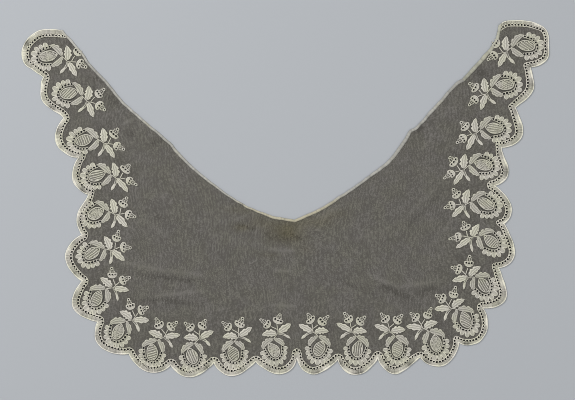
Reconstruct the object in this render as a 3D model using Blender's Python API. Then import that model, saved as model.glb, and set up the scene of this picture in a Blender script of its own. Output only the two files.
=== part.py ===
"""A flat lace collar of sheer muslin with white embroidery, laid out on its underside.

Seen from above, +Y points to the neck opening and the two front points, +X to the right front.
The tables hold millimetres from the middle of the cutting pattern. The finished outline is
centred on the origin, and the underside lies on Z = 0.
"""

import math
from collections import namedtuple

import bmesh
import bpy
from mathutils import Vector
from mathutils.geometry import delaunay_2d_cdt, interpolate_bezier

MM = 0.001

# Thickness of the cloth and of the work on it
GROUND_WALL = 1.0
SEAM_GAP = 0.3
BINDING_EDGE = 1.1
BINDING_CREST = 1.6
WORK_EDGE = 0.35
WORK_CREST = 0.9
CENTRE_EDGE = 0.6
CENTRE_CREST = 1.05
GROOVE = 0.2
STEM_HEIGHT = 0.6

# The edging, across its width from the outer edge inwards
PURL_INSET = 0.8
PURL_HEIGHT = 1.0
OUTER_HEIGHT = 0.6
BAND_HEIGHT = 0.65
ROW_HEIGHT = 0.95
ROW_HALF_WIDTH = 1.5
BAND_END = 1.7

# How finely the edge is worked out, and how much of that the solids keep
SCALLOP_STEPS = 48
POINT_STEPS = 66
NOTCH_STEPS = 12
RIB_SMOOTHING = 30
RIB_STRIDE = 6
TIP_EASE = 10.0
CORNER_SPAN = 4
SHORTEST_SIDE = 0.6

# A scallop rises from its chord by (4t(1-t)) to this power, times a curve through its three depths
ROUNDNESS = 0.75
DEPTH_STATIONS = (0.2, 0.5, 0.8)

# One row for each scallop between the two front points, from the left front round to the right:
# the notch it starts at, its depth outside the chord at a fifth, half and four fifths of the way,
# and how far inside the edge the eyelets lie, at its middle and at its first notch
Scallop = namedtuple("Scallop", "x y near middle far row notch_row")
SCALLOPS = [
    Scallop(-242.0, 120.5, 7.8, 11.0, 4.6, 5.0, 4.5),
    Scallop(-221.5, 80.0, 11.0, 15.8, 11.0, 5.5, 4.0),
    Scallop(-207.0, 40.5, 6.8, 11.0, 7.5, 5.5, 6.5),
    Scallop(-197.5, 3.5, 2.7, 7.5, 5.5, 3.8, 6.2),
    Scallop(-203.5, -36.5, 11.7, 16.5, 10.2, 5.5, 4.6),
    Scallop(-203.5, -83.0, 12.0, 18.0, 11.0, 6.0, 5.0),
    Scallop(-187.5, -123.5, 12.8, 15.4, 9.3, 5.0, 4.8),
    Scallop(-156.5, -155.5, 7.8, 12.5, 9.2, 4.8, 4.5),
    Scallop(-114.5, -167.0, 9.7, 12.7, 7.0, 5.5, 4.7),
    Scallop(-71.5, -165.0, 10.2, 13.2, 7.0, 5.0, 4.5),
    Scallop(-29.5, -163.5, 8.0, 13.9, 11.5, 5.5, 4.2),
    Scallop(11.5, -160.5, 12.5, 14.7, 7.8, 5.5, 8.0),
    Scallop(52.5, -161.5, 12.8, 15.6, 9.5, 5.8, 4.2),
    Scallop(92.5, -160.0, 13.0, 15.0, 6.5, 6.0, 5.5),
    Scallop(135.0, -159.5, 11.8, 15.3, 10.0, 4.4, 4.2),
    Scallop(173.5, -145.0, 13.6, 16.9, 11.2, 4.0, 6.5),
    Scallop(198.0, -110.0, 14.0, 16.8, 8.0, 6.0, 5.0),
    Scallop(213.5, -70.0, 12.2, 12.9, 6.2, 4.2, 6.2),
    Scallop(219.0, -25.5, 9.0, 10.5, 5.7, 4.8, 7.5),
    Scallop(209.5, 12.5, 9.3, 10.0, 3.4, 5.8, 6.8),
    Scallop(216.5, 50.5, 12.0, 15.1, 7.8, 6.2, 7.0),
    Scallop(230.0, 90.5, 5.5, 10.4, 6.3, 6.0, 5.8),
]
LAST_NOTCH = (245.0, 130.5)
LAST_NOTCH_ROW = 6.0
TIP_ROW = 5.8

# The scallops of the two front points, whose outlines double back past their chords
LEFT_POINT = [
    (-222.5, 168.0), (-235.5, 169.0), (-244.5, 168.2), (-251.5, 164.8), (-257.5, 159.5),
    (-262.0, 153.0), (-263.6, 145.5), (-262.8, 138.5), (-259.0, 132.5), (-252.5, 128.0), (-242.0, 120.5),
]
RIGHT_POINT = [
    (245.0, 130.5), (250.5, 131.5), (256.0, 133.8), (261.2, 138.0), (263.6, 144.5), (263.2, 153.5),
    (263.2, 162.5), (259.5, 170.0), (252.5, 174.2), (244.0, 177.0), (235.5, 178.0), (224.5, 177.6),
    (217.5, 176.2), (213.0, 172.5),
]

# The neck edge in its three lengths of binding, with the width of the strip at each point
LEFT_NECK = [
    (-222.5, 168.0, 2.4), (-205.0, 148.0, 2.4), (-193.0, 132.0, 2.4), (-179.5, 118.0, 2.4),
    (-161.5, 96.5, 2.3), (-140.5, 77.5, 2.2), (-117.5, 58.0, 2.3), (-105.5, 45.0, 2.5),
    (-90.5, 30.0, 2.3), (-69.5, 13.0, 1.9), (-50.0, -1.0, 1.7), (-29.5, -11.5, 1.8),
    (-10.5, -18.0, 2.4), (9.0, -21.5, 2.2),
]
RIGHT_NECK = [
    (9.0, -21.5, 2.2), (34.5, -10.0, 1.9), (64.5, 9.0, 1.7), (84.5, 23.5, 1.8), (102.5, 37.5, 2.4),
    (114.5, 53.0, 2.5), (124.0, 67.0, 2.2), (130.5, 71.5, 1.8), (144.5, 87.0, 2.2),
    (163.5, 108.0, 2.0), (169.5, 115.0, 2.2), (177.0, 119.5, 2.6),
]
FRONT_NECK = [
    (177.0, 119.5, 2.6), (186.5, 130.0, 2.8), (196.5, 141.0, 2.8), (204.5, 150.5, 2.8),
    (209.5, 158.0, 2.3), (212.0, 165.5, 2.2), (213.0, 172.5, 2.2),
]
NECK_STEPS = 2

# The ways that the binding is cut across at the centre-back notch and at the step on the right front
NOTCH_CUT = (0.12, -1.0)
STEP_CUT = (0.62, -0.78)

# One row for each sprig, in the scallops' order: the middle of its flower, its turn from upright
# in degrees, and the distance from there to the crossing of its stems. The first twelve are mirrored.
Sprig = namedtuple("Sprig", "x y turn reach")
SPRIGS = [
    Sprig(-238.5, 141.5, -86, 21.3),
    Sprig(-218.0, 104.5, -95, 21.5),
    Sprig(-203.0, 57.5, -81, 22.3),
    Sprig(-189.5, 22.0, -77, 20.5),
    Sprig(-190.5, -16.0, -73, 20.6),
    Sprig(-194.0, -56.0, -62, 20.3),
    Sprig(-189.0, -101.5, -36, 20.0),
    Sprig(-167.5, -134.5, -31, 19.9),
    Sprig(-133.0, -155.0, -17, 19.4),
    Sprig(-92.5, -159.0, -1, 19.9),
    Sprig(-51.5, -156.0, 5, 18.1),
    Sprig(-11.5, -152.5, 7, 17.6),
    Sprig(33.5, -151.5, -1, 18.5),
    Sprig(72.0, -152.0, -2, 19.4),
    Sprig(112.0, -151.5, 4, 19.8),
    Sprig(150.5, -146.5, 21, 21.1),
    Sprig(180.5, -123.0, 31, 20.0),
    Sprig(198.5, -88.0, 39, 17.7),
    Sprig(206.5, -44.5, 59, 21.0),
    Sprig(201.5, -6.5, 73, 22.2),
    Sprig(199.0, 32.5, 83, 20.9),
    Sprig(210.5, 69.5, 87, 21.0),
    Sprig(221.0, 113.5, 97, 21.8),
    Sprig(242.5, 152.0, 89, 22.4),
]
MIRRORED_SPRIGS = 12
TEMPLATE_REACH = 20.2

# The sprig, upright, from the middle of its flower: the ring of petals and the sepals over it
PETAL_MIDDLE = (-0.2, -0.4)
PETALS = 9
PETAL_START, PETAL_END = 169, 371
PETAL_TIP, PETAL_NOTCH, PETAL_RIDGE = 14.5, 12.3, 11.2
PETAL_SHOULDERS = (0.28, 0.72)
LEFT_SEPAL = [(-2.4, 14.9), (-7.0, 13.2), (-10.4, 8.8), (-11.6, 3.8)]
RIGHT_SEPAL = [(11.3, 3.6), (10.2, 8.0), (6.6, 12.6), (2.0, 14.7)]
LEFT_SEPAL_RIDGE = [(-3.2, 12.8), (-8.4, 7.6)]
RIGHT_SEPAL_RIDGE = [(1.8, 12.8), (8.4, 7.4)]
CENTRE_MIDDLE = (0.4, 1.2)
CENTRE_HALF_WIDTH, CENTRE_HALF_HEIGHT = 5.2, 8.0
GROOVE_HALF_WIDTH, GROOVE_HALF_HEIGHT = 6.7, 9.4
CENTRE_SIDES = 8
CENTRE_TOP = (-0.4, 0.4)

# Leaves and stems: where each starts and ends, its half width, its bow and its steps along
Blade = namedtuple("Blade", "x0 y0 x1 y1 half_width bow steps")
LEAVES = [
    Blade(-5.4, 19.2, 9.8, 19.9, 4.2, 0.0, 4),
    Blade(-7.0, 19.9, -21.8, 27.0, 3.5, 0.0, 4),
    Blade(-6.4, 18.7, -16.8, 13.0, 1.8, -1.0, 3),
]
PISTILS = [
    Blade(-12.2, 33.6, -15.4, 39.0, 1.3, 0.0, 2),
    Blade(4.0, 32.0, 9.2, 35.2, 1.3, 0.0, 2),
]
Stem = namedtuple("Stem", "x0 y0 x1 y1 half_width")
RIBBED_HALF_WIDTH = 1.5
STEMS = [
    Stem(-1.4, 14.0, -6.8, 19.8, 0.65),
    Stem(-6.5, 18.4, -8.8, 28.0, 0.6),
    Stem(-7.6, 22.8, -2.2, 27.0, 0.55),
]
Berry = namedtuple("Berry", "x y half_length half_width lean")
BERRIES = [
    Berry(-9.8, 31.4, 5.2, 4.4, 130),
    Berry(0.9, 29.9, 5.2, 4.2, 40),
]
BERRY_SIDES = 7
BERRY_TOP = 1.2

# Soft folds of the laid cloth: the two ends of each crest, its foot's half width and its height
Fold = namedtuple("Fold", "x0 y0 x1 y1 half_width height")
FOLDS = [
    Fold(9.0, -32.0, 11.0, -104.0, 4.0, 0.55),
    Fold(-62.0, -48.0, -10.0, -52.0, 9.0, 0.6),
    Fold(28.0, -53.0, 84.0, -44.0, 9.0, 0.55),
    Fold(-148.0, -62.0, -44.0, -80.0, 12.0, 0.8),
    Fold(-70.0, 2.0, -142.0, -36.0, 11.0, 0.6),
    Fold(38.0, -78.0, 128.0, -88.0, 11.0, 0.7),
    Fold(100.0, 18.0, 140.0, -46.0, 10.0, 0.6),
]
FOLD_STEPS = 4
FOLD_PROFILE = [(-1.0, 0.0), (-0.5, 0.6), (0.0, 1.0), (0.5, 0.6), (1.0, 0.0)]

CLOTH_GREY = (0.145, 0.135, 0.115, 1.0)
THREAD_WHITE = (0.62, 0.60, 0.51, 1.0)
EDGING_WHITE = (0.66, 0.64, 0.54, 1.0)
BINDING_WHITE = (0.58, 0.57, 0.50, 1.0)
OLD_BINDING = (0.50, 0.50, 0.38, 1.0)


def flat(vector):
    return Vector((vector[0], vector[1]))


def side_of(direction):
    """The unit vector square to a direction, on its left."""
    return Vector((-direction.y, direction.x)).normalized()


def cross(a, b):
    return a.x * b.y - a.y * b.x


def smooth_curve(points, steps):
    """A smooth run through points, with the given steps in each span."""
    knots = [Vector((*point, 0.0)[:3]) for point in points]
    chords = [b - a for a, b in zip([knots[0]] + knots, knots + [knots[-1]])]
    tangents = [(a + b).normalized() for a, b in zip(chords, chords[1:])]
    run = []
    for start, end, leaving, arriving in zip(knots, knots[1:], tangents, tangents[1:]):
        third = (end - start).length / 3
        run += interpolate_bezier(start, start + leaving * third, end - arriving * third, end, steps + 1)[:-1]
    return run + [knots[-1]]


def even_spacing(points, count):
    """The same run as count equal steps."""
    lengths = [0.0]
    for a, b in zip(points, points[1:]):
        lengths.append(lengths[-1] + (b - a).length)
    run, span = [], 0
    for i in range(count):
        target = lengths[-1] * i / count
        while lengths[span + 1] < target:
            span += 1
        part = (target - lengths[span]) / (lengths[span + 1] - lengths[span])
        run.append(points[span].lerp(points[span + 1], part))
    return run + [points[-1]]


def scallop_depth(scallop, t):
    """How far a scallop's edge stands outside its chord, a part t of the way along."""
    swell = (4 * t * (1 - t)) ** ROUNDNESS
    depth = 0.0
    for station, value in zip(DEPTH_STATIONS, (scallop.near, scallop.middle, scallop.far)):
        weight = value / (4 * station * (1 - station)) ** ROUNDNESS
        for other in DEPTH_STATIONS:
            if other != station:
                weight *= (t - other) / (station - other)
        depth += weight
    return swell * depth


def scallop_edge(scallop, end):
    start = Vector((scallop.x, scallop.y))
    chord = Vector(end) - start
    run = []
    for i in range(2 * SCALLOP_STEPS + 1):
        t = (1 - math.cos(math.pi * i / (2 * SCALLOP_STEPS))) / 2
        run.append(start + chord * t - side_of(chord) * scallop_depth(scallop, t))
    return run


def edge_runs():
    """The outer edge: for each scallop a run of points, and the eyelets' distance at its ends and middle."""
    ends = [(s.x, s.y) for s in SCALLOPS[1:]] + [LAST_NOTCH]
    notch_rows = [s.notch_row for s in SCALLOPS] + [LAST_NOTCH_ROW]
    runs = [(smooth_curve(LEFT_POINT, 8), (TIP_ROW, TIP_ROW, notch_rows[0]))]
    for scallop, end, first, last in zip(SCALLOPS, ends, notch_rows, notch_rows[1:]):
        runs.append((scallop_edge(scallop, end), (first, scallop.row, last)))
    runs.append((smooth_curve(RIGHT_POINT, 8), (LAST_NOTCH_ROW, TIP_ROW, TIP_ROW)))
    counts = [POINT_STEPS] + [SCALLOP_STEPS] * len(SCALLOPS) + [POINT_STEPS]
    return [(even_spacing([flat(p) for p in run], count), rows) for (run, rows), count in zip(runs, counts)]


def edge_ribs():
    """Fine ribs across the edging: a point of the outer edge and the way inwards, fanned round each notch."""
    ribs = []
    for run, (first, middle, last) in edge_runs():
        ways = [side_of(b - a) for a, b in zip([run[0]] + run, run[1:] + [run[-1]])]
        if ribs:
            notch, before, row = ribs[-1]
            for i in range(1, NOTCH_STEPS):
                ribs.append([notch, before.slerp(ways[0], i / NOTCH_STEPS), row])
        for i, (point, way) in enumerate(zip(run, ways)):
            t = i / (len(run) - 1)
            swell = math.sin(math.pi * t) ** 0.6
            ribs.append([point, way, (first + (last - first) * t) * (1 - swell) + middle * swell])
    for _ in range(RIB_SMOOTHING):
        ways = [rib[1] for rib in ribs]
        rows = [rib[2] for rib in ribs]
        for i in range(1, len(ribs) - 1):
            ribs[i][1] = (ways[i - 1] + 2 * ways[i] + ways[i + 1]).normalized()
            ribs[i][2] = (rows[i - 1] + 2 * rows[i] + rows[i + 1]) / 4
    return ribs


def neck_ribs(points, first_way=None, last_way=None):
    """Ribs across one length of neck binding, whose last number is the strip's width there."""
    run = smooth_curve(points, NECK_STEPS)
    ribs = []
    for i, knot in enumerate(run):
        along = flat(run[min(i + 1, len(run) - 1)] - run[max(i - 1, 0)])
        ribs.append([flat(knot), -side_of(along), knot.z])
    for i, way in ((0, first_way), (-1, last_way)):
        if way:
            ribs[i][1] = way / abs(way.dot(ribs[i][1]))
    return ribs


def drawn_back(ribs, *ends):
    """The ribs with the named ends drawn back along the strip by half a seam's gap."""
    for end in ends:
        near, following = (0, 1) if end == "first" else (-1, -2)
        step = (ribs[following][0] - ribs[near][0]).normalized()
        ribs[near][0] = ribs[near][0] + step * (SEAM_GAP / 2)
    return ribs


def way_at_end(ribs, order):
    """The way that the outer edge leaves one end of its ribs, the first or, with order -1, the last."""
    ordered = ribs[::order]
    return (ordered[CORNER_SPAN][0] - ordered[0][0]).normalized()


def trimmed_at_points(ribs):
    """The edge ribs cut back to the binding, with the end ribs turned along the neck edge."""
    for neck, order in ((LEFT_NECK, 1), (FRONT_NECK[::-1], -1)):
        corner = flat(neck[0])
        along_neck = (flat(neck[1]) - corner).normalized()
        width = neck[0][2]
        along_edge = way_at_end(ribs, order)
        ordered = ribs[::order]
        slope = abs(cross(along_edge, along_neck))
        start = corner + along_edge * ((width + SEAM_GAP) / slope)
        reach = (start - corner).length
        ordered = [rib for rib in ordered if (rib[0] - corner).length > reach + 0.5]
        ordered.insert(0, [start, ordered[0][1], ordered[0][2]])
        for rib in ordered:
            away = (rib[0] - start).length
            if away > TIP_EASE:
                break
            ease = away / TIP_EASE
            rib[1] = (along_neck / slope).lerp(rib[1], ease * ease * (3 - 2 * ease))
        ribs = ordered[::order]
    return ribs


def thinned(ribs):
    return ribs[:-1:RIB_STRIDE] + [ribs[-1]]


def put_in(collection, name, mesh, colour, roughness=0.85):
    material = bpy.data.materials.new(name)
    material.use_nodes = True
    shader = material.node_tree.nodes["Principled BSDF"]
    shader.inputs["Base Color"].default_value = colour
    shader.inputs["Roughness"].default_value = roughness
    mesh.materials.append(material)
    piece = bpy.data.objects.new(name, mesh)
    collection.objects.link(piece)
    return piece


def mesh_of(bm, name):
    bmesh.ops.remove_doubles(bm, verts=bm.verts, dist=0.002)
    bmesh.ops.recalc_face_normals(bm, faces=bm.faces)
    bmesh.ops.scale(bm, vec=Vector((MM, MM, MM)), verts=bm.verts)
    mesh = bpy.data.meshes.new(name)
    bm.to_mesh(mesh)
    bm.free()
    return mesh


def lofted_strip(ribs, profile, base):
    """A closed strip: at each rib a ring of (distance in, height over base), capped at both ends."""
    bm = bmesh.new()
    rings = []
    for point, across, measure in ribs:
        places = [(point + across * inset, base + height) for inset, height in profile(measure)]
        rings.append([bm.verts.new((place.x, place.y, z)) for place, z in places])
    for ring, following in zip(rings, rings[1:]):
        for i, j in zip(range(len(ring)), list(range(1, len(ring))) + [0]):
            bm.faces.new((ring[i], ring[j], following[j], following[i]))
    bm.faces.new(rings[0])
    bm.faces.new(rings[-1])
    return bm


def edging_profile(row):
    inner = row + ROW_HALF_WIDTH
    return [
        (0.0, 0.0), (0.0, OUTER_HEIGHT), (PURL_INSET, PURL_HEIGHT), (row - BAND_END, BAND_HEIGHT),
        (row, ROW_HEIGHT), (inner, WORK_EDGE), (inner, 0.0),
    ]


def binding_profile(width):
    return [
        (0.0, 0.0), (0.0, BINDING_EDGE), (width / 2, BINDING_CREST), (width, BINDING_EDGE), (width, 0.0),
    ]


def kept_triangles(triangles, sources, shapes, limit):
    """Those inside a shape and inside the limit, joined edge to edge, in their largest group."""
    inside = [
        triangle
        for triangle, source in zip(triangles, sources)
        if limit in source and any(shape in source for shape in shapes)
    ]
    owners = {}
    for i, triangle in enumerate(inside):
        for a, b in zip(triangle, triangle[1:] + triangle[:1]):
            owners.setdefault(frozenset((a, b)), []).append(i)
    group = list(range(len(inside)))

    def leader(i):
        while group[i] != i:
            i = group[i]
        return i

    for pair in owners.values():
        if len(pair) == 2:
            group[leader(pair[0])] = leader(pair[1])
    members = {}
    for i in range(len(inside)):
        members.setdefault(leader(i), []).append(inside[i])
    return max(members.values(), key=len)


def relief(outlines, crests, limit, base, edge_height):
    """A flat-bottomed solid over overlapping outlines, cut off at a limit, raised to its crests' heights.

    Each outline and crest is a list of points with a height, and a crest is left open.
    """
    points, heights, edges, faces = [], [], [], []
    for run, closed in [(outline, True) for outline in outlines] + [(crest, False) for crest in crests]:
        first = len(points)
        points += [Vector(point[:2]) for point in run]
        heights += [point[2] for point in run]
        count = len(run)
        if closed:
            faces.append(list(range(first, first + count)))
        edges += [(first + i, first + i + 1) for i in range(count - 1)]
    shape_faces = list(range(len(faces)))
    first = len(points)
    points += limit
    heights += [edge_height] * len(limit)
    faces.append(list(range(first, first + len(limit))))
    places, _, triangles, came_from, _, sources = delaunay_2d_cdt(points, edges, faces, 1, 0.001)
    triangles = kept_triangles([list(t) for t in triangles], sources, shape_faces, len(faces) - 1)
    bm = bmesh.new()
    height = bm.verts.layers.float.new("height")
    verts = {}
    for i in sorted({i for triangle in triangles for i in triangle}):
        verts[i] = bm.verts.new((places[i].x, places[i].y, base))
        verts[i][height] = max([heights[j] for j in came_from[i]], default=edge_height)
    for triangle in triangles:
        bm.faces.new([verts[i] for i in triangle])
    floor = bm.faces[:]
    raised = bmesh.ops.extrude_face_region(bm, geom=floor)["geom"]
    for item in raised:
        if isinstance(item, bmesh.types.BMVert):
            item.co.z = base + item[height]
    bottom = [face for face in bm.faces if all(abs(v.co.z - base) < 1e-6 for v in face.verts)]
    bottom_edges = list({edge for face in bottom for edge in face.edges})
    bottom_verts = list({vert for face in bottom for vert in face.verts})
    bmesh.ops.dissolve_limit(bm, angle_limit=0.01, verts=bottom_verts, edges=bottom_edges)
    return bm


def with_height(points, height):
    return [(x, y, height) for x, y in points]


def polar(middle, degrees, radius_x, radius_y):
    angle = math.radians(degrees)
    return (middle[0] + radius_x * math.cos(angle), middle[1] + radius_y * math.sin(angle))


def flower():
    """Outlines and crests of the flower: the petals with the sepals over them, and its centre."""
    pitch = (PETAL_END - PETAL_START) / PETALS
    rim, ridge = [], []
    for i in range(PETALS):
        start = PETAL_START + i * pitch
        rim.append(polar(PETAL_MIDDLE, start, PETAL_NOTCH, PETAL_NOTCH))
        rim += [polar(PETAL_MIDDLE, start + part * pitch, PETAL_TIP, PETAL_TIP) for part in PETAL_SHOULDERS]
        ridge.append(polar(PETAL_MIDDLE, start + 0.5 * pitch, PETAL_RIDGE, PETAL_RIDGE))
    rim.append(polar(PETAL_MIDDLE, PETAL_END, PETAL_NOTCH, PETAL_NOTCH))
    outline = with_height(rim + RIGHT_SEPAL + LEFT_SEPAL, WORK_EDGE)
    turns = [360 * i / CENTRE_SIDES + 90 for i in range(CENTRE_SIDES)]
    groove = [polar(CENTRE_MIDDLE, a, GROOVE_HALF_WIDTH, GROOVE_HALF_HEIGHT) for a in turns]
    centre = [polar(CENTRE_MIDDLE, a, CENTRE_HALF_WIDTH, CENTRE_HALF_HEIGHT) for a in turns]
    top = [(CENTRE_MIDDLE[0], CENTRE_MIDDLE[1] + CENTRE_HALF_HEIGHT * part) for part in CENTRE_TOP]
    crests = [
        with_height(ridge, WORK_CREST), with_height(LEFT_SEPAL_RIDGE, WORK_CREST),
        with_height(RIGHT_SEPAL_RIDGE, WORK_CREST), with_height(top, CENTRE_CREST),
    ]
    return [outline, with_height(groove, GROOVE), with_height(centre, CENTRE_EDGE)], crests


def blade(row):
    """Outline and midrib of a leaf."""
    start, end = Vector((row.x0, row.y0)), Vector((row.x1, row.y1))
    side = side_of(end - start)
    right, left, rib = [], [], []
    for i in range(row.steps + 1):
        t = i / row.steps
        middle = start.lerp(end, t) + side * (row.bow * 4 * t * (1 - t))
        width = row.half_width * math.sin(math.pi * t ** 0.9) ** 0.8 if 0 < i < row.steps else 0.0
        if width:
            right.append(middle - side * width)
            left.insert(0, middle + side * width)
            if row.half_width > RIBBED_HALF_WIDTH:
                rib.append(middle)
    outline = [start] + right + [end] + left
    return with_height(outline, WORK_EDGE), with_height(rib, WORK_CREST)


def bar(row):
    """Outline of a stem."""
    start, end = Vector((row.x0, row.y0)), Vector((row.x1, row.y1))
    side = side_of(end - start) * row.half_width
    return with_height([start - side, end - side, end + side, start + side], STEM_HEIGHT)


def berry(row):
    lean = math.radians(row.lean)
    along = Vector((math.cos(lean), math.sin(lean)))
    across = side_of(along)
    middle = Vector((row.x, row.y))
    outline = []
    for i in range(BERRY_SIDES):
        angle = math.tau * (i + 0.5) / BERRY_SIDES
        reach = along * (math.cos(angle) * row.half_length) + across * (math.sin(angle) * row.half_width)
        outline.append(middle + reach)
    top = [middle - along * BERRY_TOP, middle + along * BERRY_TOP]
    return with_height(outline, WORK_EDGE), with_height(top, WORK_CREST)


def upright_sprig():
    outlines, crests = flower()
    outlines += [bar(row) for row in STEMS]
    for outline, crest in [blade(row) for row in LEAVES + PISTILS] + [berry(row) for row in BERRIES]:
        outlines.append(outline)
        crests.append(crest)
    return outlines, crests


def laid_in_scallop(run, row, mirrored):
    """A run of the upright sprig, moved to its scallop."""
    turn = math.radians(row.turn)
    placed = []
    for x, y, height in run:
        if y > 0:
            y *= row.reach / TEMPLATE_REACH
        if mirrored:
            x = -x
        east = row.x + x * math.cos(turn) - y * math.sin(turn)
        north = row.y + x * math.sin(turn) + y * math.cos(turn)
        placed.append((east, north, height))
    return placed[::-1] if mirrored else placed


def fold_crests():
    """The crest and both feet of each soft fold of the ground."""
    runs = []
    for fold in FOLDS:
        start, end = Vector((fold.x0, fold.y0)), Vector((fold.x1, fold.y1))
        foot = side_of(end - start) * fold.half_width
        for aside, part in FOLD_PROFILE:
            run = []
            for i in range(FOLD_STEPS + 1):
                t = i / FOLD_STEPS
                height = GROUND_WALL + fold.height * part * math.sin(math.pi * t)
                run.append((*(start.lerp(end, t) + foot * aside), height))
            runs.append(run)
    return runs


def centred(points):
    """How far to move the pattern so that its outline's box is centred on the origin."""
    xs, ys = [p.x for p in points], [p.y for p in points]
    return Vector((-(min(xs) + max(xs)) / 2, -(min(ys) + max(ys)) / 2))


def moved(mesh, shift):
    for vert in mesh.vertices:
        vert.co.x += shift.x * MM
        vert.co.y += shift.y * MM
    return mesh


def binding_strips(ribs):
    """The ribs of the three strips of neck binding, meeting the outer edge at the two points."""
    notch, step = Vector(NOTCH_CUT).normalized(), Vector(STEP_CUT).normalized()
    return {
        "left": neck_ribs(LEFT_NECK, way_at_end(ribs, 1), notch),
        "right": neck_ribs(RIGHT_NECK, notch, step),
        "front": neck_ribs(FRONT_NECK, step, way_at_end(ribs, -1)),
    }


def spaced_apart(points, distance):
    """The points of a run that stand more than a distance from the last one kept."""
    kept = [points[0]]
    for point in points[1:]:
        if (point - kept[-1]).length > distance:
            kept.append(point)
    return kept


def build():
    for old in list(bpy.data.objects):
        bpy.data.objects.remove(old)
    collection = bpy.data.collections.new("lace_collar")
    bpy.context.scene.collection.children.link(collection)

    fine_ribs = edge_ribs()
    strips = binding_strips(fine_ribs)
    ribs = thinned(trimmed_at_points(fine_ribs))
    neck_edge = [rib[0] for strip in strips.values() for rib in strip]
    neck_side = [
        point + across * (width + SEAM_GAP) for strip in strips.values() for point, across, width in strip
    ][1:-1]
    outer_side = spaced_apart([rib[0] for rib in ribs], 0.01)
    shift = centred(outer_side + neck_edge)

    def finish(bm, name, colour):
        put_in(collection, name, moved(mesh_of(bm, name), shift), colour)

    outline = spaced_apart(outer_side + neck_side[::-1], SHORTEST_SIDE)
    ground = relief([with_height(outline, GROUND_WALL)], fold_crests(), outline, 0.0, GROUND_WALL)
    finish(ground, "muslin_ground", CLOTH_GREY)

    work_base = GROUND_WALL + SEAM_GAP
    finish(lofted_strip(ribs, edging_profile, work_base), "scalloped_edging", EDGING_WHITE)

    drawn_back(strips["left"], "last")
    drawn_back(strips["right"], "first", "last")
    drawn_back(strips["front"], "first")
    for side, strip in strips.items():
        colour = OLD_BINDING if side == "front" else BINDING_WHITE
        finish(lofted_strip(strip, binding_profile, 0.0), f"neck_binding_{side}", colour)

    field = [point + across * (row + ROW_HALF_WIDTH + SEAM_GAP) for point, across, row in ribs]
    field += neck_side[::-1]
    outlines, crests = upright_sprig()
    for number, row in enumerate(SPRIGS, 1):
        mirrored = number <= MIRRORED_SPRIGS
        placed = [laid_in_scallop(run, row, mirrored) for run in outlines]
        placed_crests = [laid_in_scallop(run, row, mirrored) for run in crests]
        finish(relief(placed, placed_crests, field, work_base, WORK_EDGE), f"sprig_{number:02d}", THREAD_WHITE)


build()
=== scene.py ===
"""The looks of a flat lace collar: sheer muslin, worked eyelet edging, padded sprigs and neck binding.

The tables hold millimetres from the middle of the cutting pattern. Seen from above, +Y points to the
neck opening and +X to the right front. Every piece is laid where its solid of the frame lies.
"""

import math
import random
from collections import namedtuple

import bmesh
import bpy
from mathutils import Matrix, Vector, noise
from mathutils.geometry import interpolate_bezier


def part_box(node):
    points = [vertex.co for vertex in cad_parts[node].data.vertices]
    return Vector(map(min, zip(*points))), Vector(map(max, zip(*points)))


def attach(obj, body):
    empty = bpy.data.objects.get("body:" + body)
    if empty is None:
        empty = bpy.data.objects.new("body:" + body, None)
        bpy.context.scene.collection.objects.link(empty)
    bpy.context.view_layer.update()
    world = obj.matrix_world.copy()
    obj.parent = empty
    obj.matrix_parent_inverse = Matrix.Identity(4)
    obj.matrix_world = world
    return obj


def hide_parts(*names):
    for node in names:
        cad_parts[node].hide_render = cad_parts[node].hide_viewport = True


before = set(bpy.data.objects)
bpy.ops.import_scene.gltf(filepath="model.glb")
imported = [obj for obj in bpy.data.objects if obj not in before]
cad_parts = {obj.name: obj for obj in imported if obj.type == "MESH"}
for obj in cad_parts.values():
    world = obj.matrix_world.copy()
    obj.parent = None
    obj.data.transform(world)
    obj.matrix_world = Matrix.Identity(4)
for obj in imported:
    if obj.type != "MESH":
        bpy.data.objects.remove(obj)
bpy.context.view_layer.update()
# The sprigs wander the same way in every run
noise.seed_set(5)

MM = 0.001

# Heights above the surface that the collar lies on
CLOTH_BOTTOM, CLOTH_TOP = 0.35, 0.6
EDGE_BOTTOM = 0.1
WORK_BOTTOM = 0.5

# Threads and eyelets
THREAD_PITCH = 0.55
STITCH_PITCH = 0.45
EYELET_PITCH = 3.15
EYELET_RADIUS = 1.06
RING_RADIUS = 1.65
RING_TOP = 2.0

# Steps in a ring, a curve and each part of the two edges, and rounds of smoothing
EYELET_STEPS = 10
CURVE_STEPS = 8
SCALLOP_STEPS = 48
POINT_STEPS = 66
NOTCH_STEPS = 12
NECK_STEPS = 12
RIB_SMOOTHING = 30
ROW_SMOOTHING = 6

# The edging, as distances in from the outer edge or along it
EYELETS_IN = 0.35
CLEAR_OF_TIP = 2.2
NOTCH_SIDE_ROW = 4.6
LEAST_SIDE_ROW = 3.2
SIDE_EASE = 0.35
TIP_EASE = 6.0
SEAM_GAP = 0.3
CLOTH_UNDER_EDGE = 0.9
CLOTH_UNDER_STRIP = 0.6

ROUNDNESS = 0.75
DEPTH_STATIONS = (0.2, 0.5, 0.8)

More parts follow.
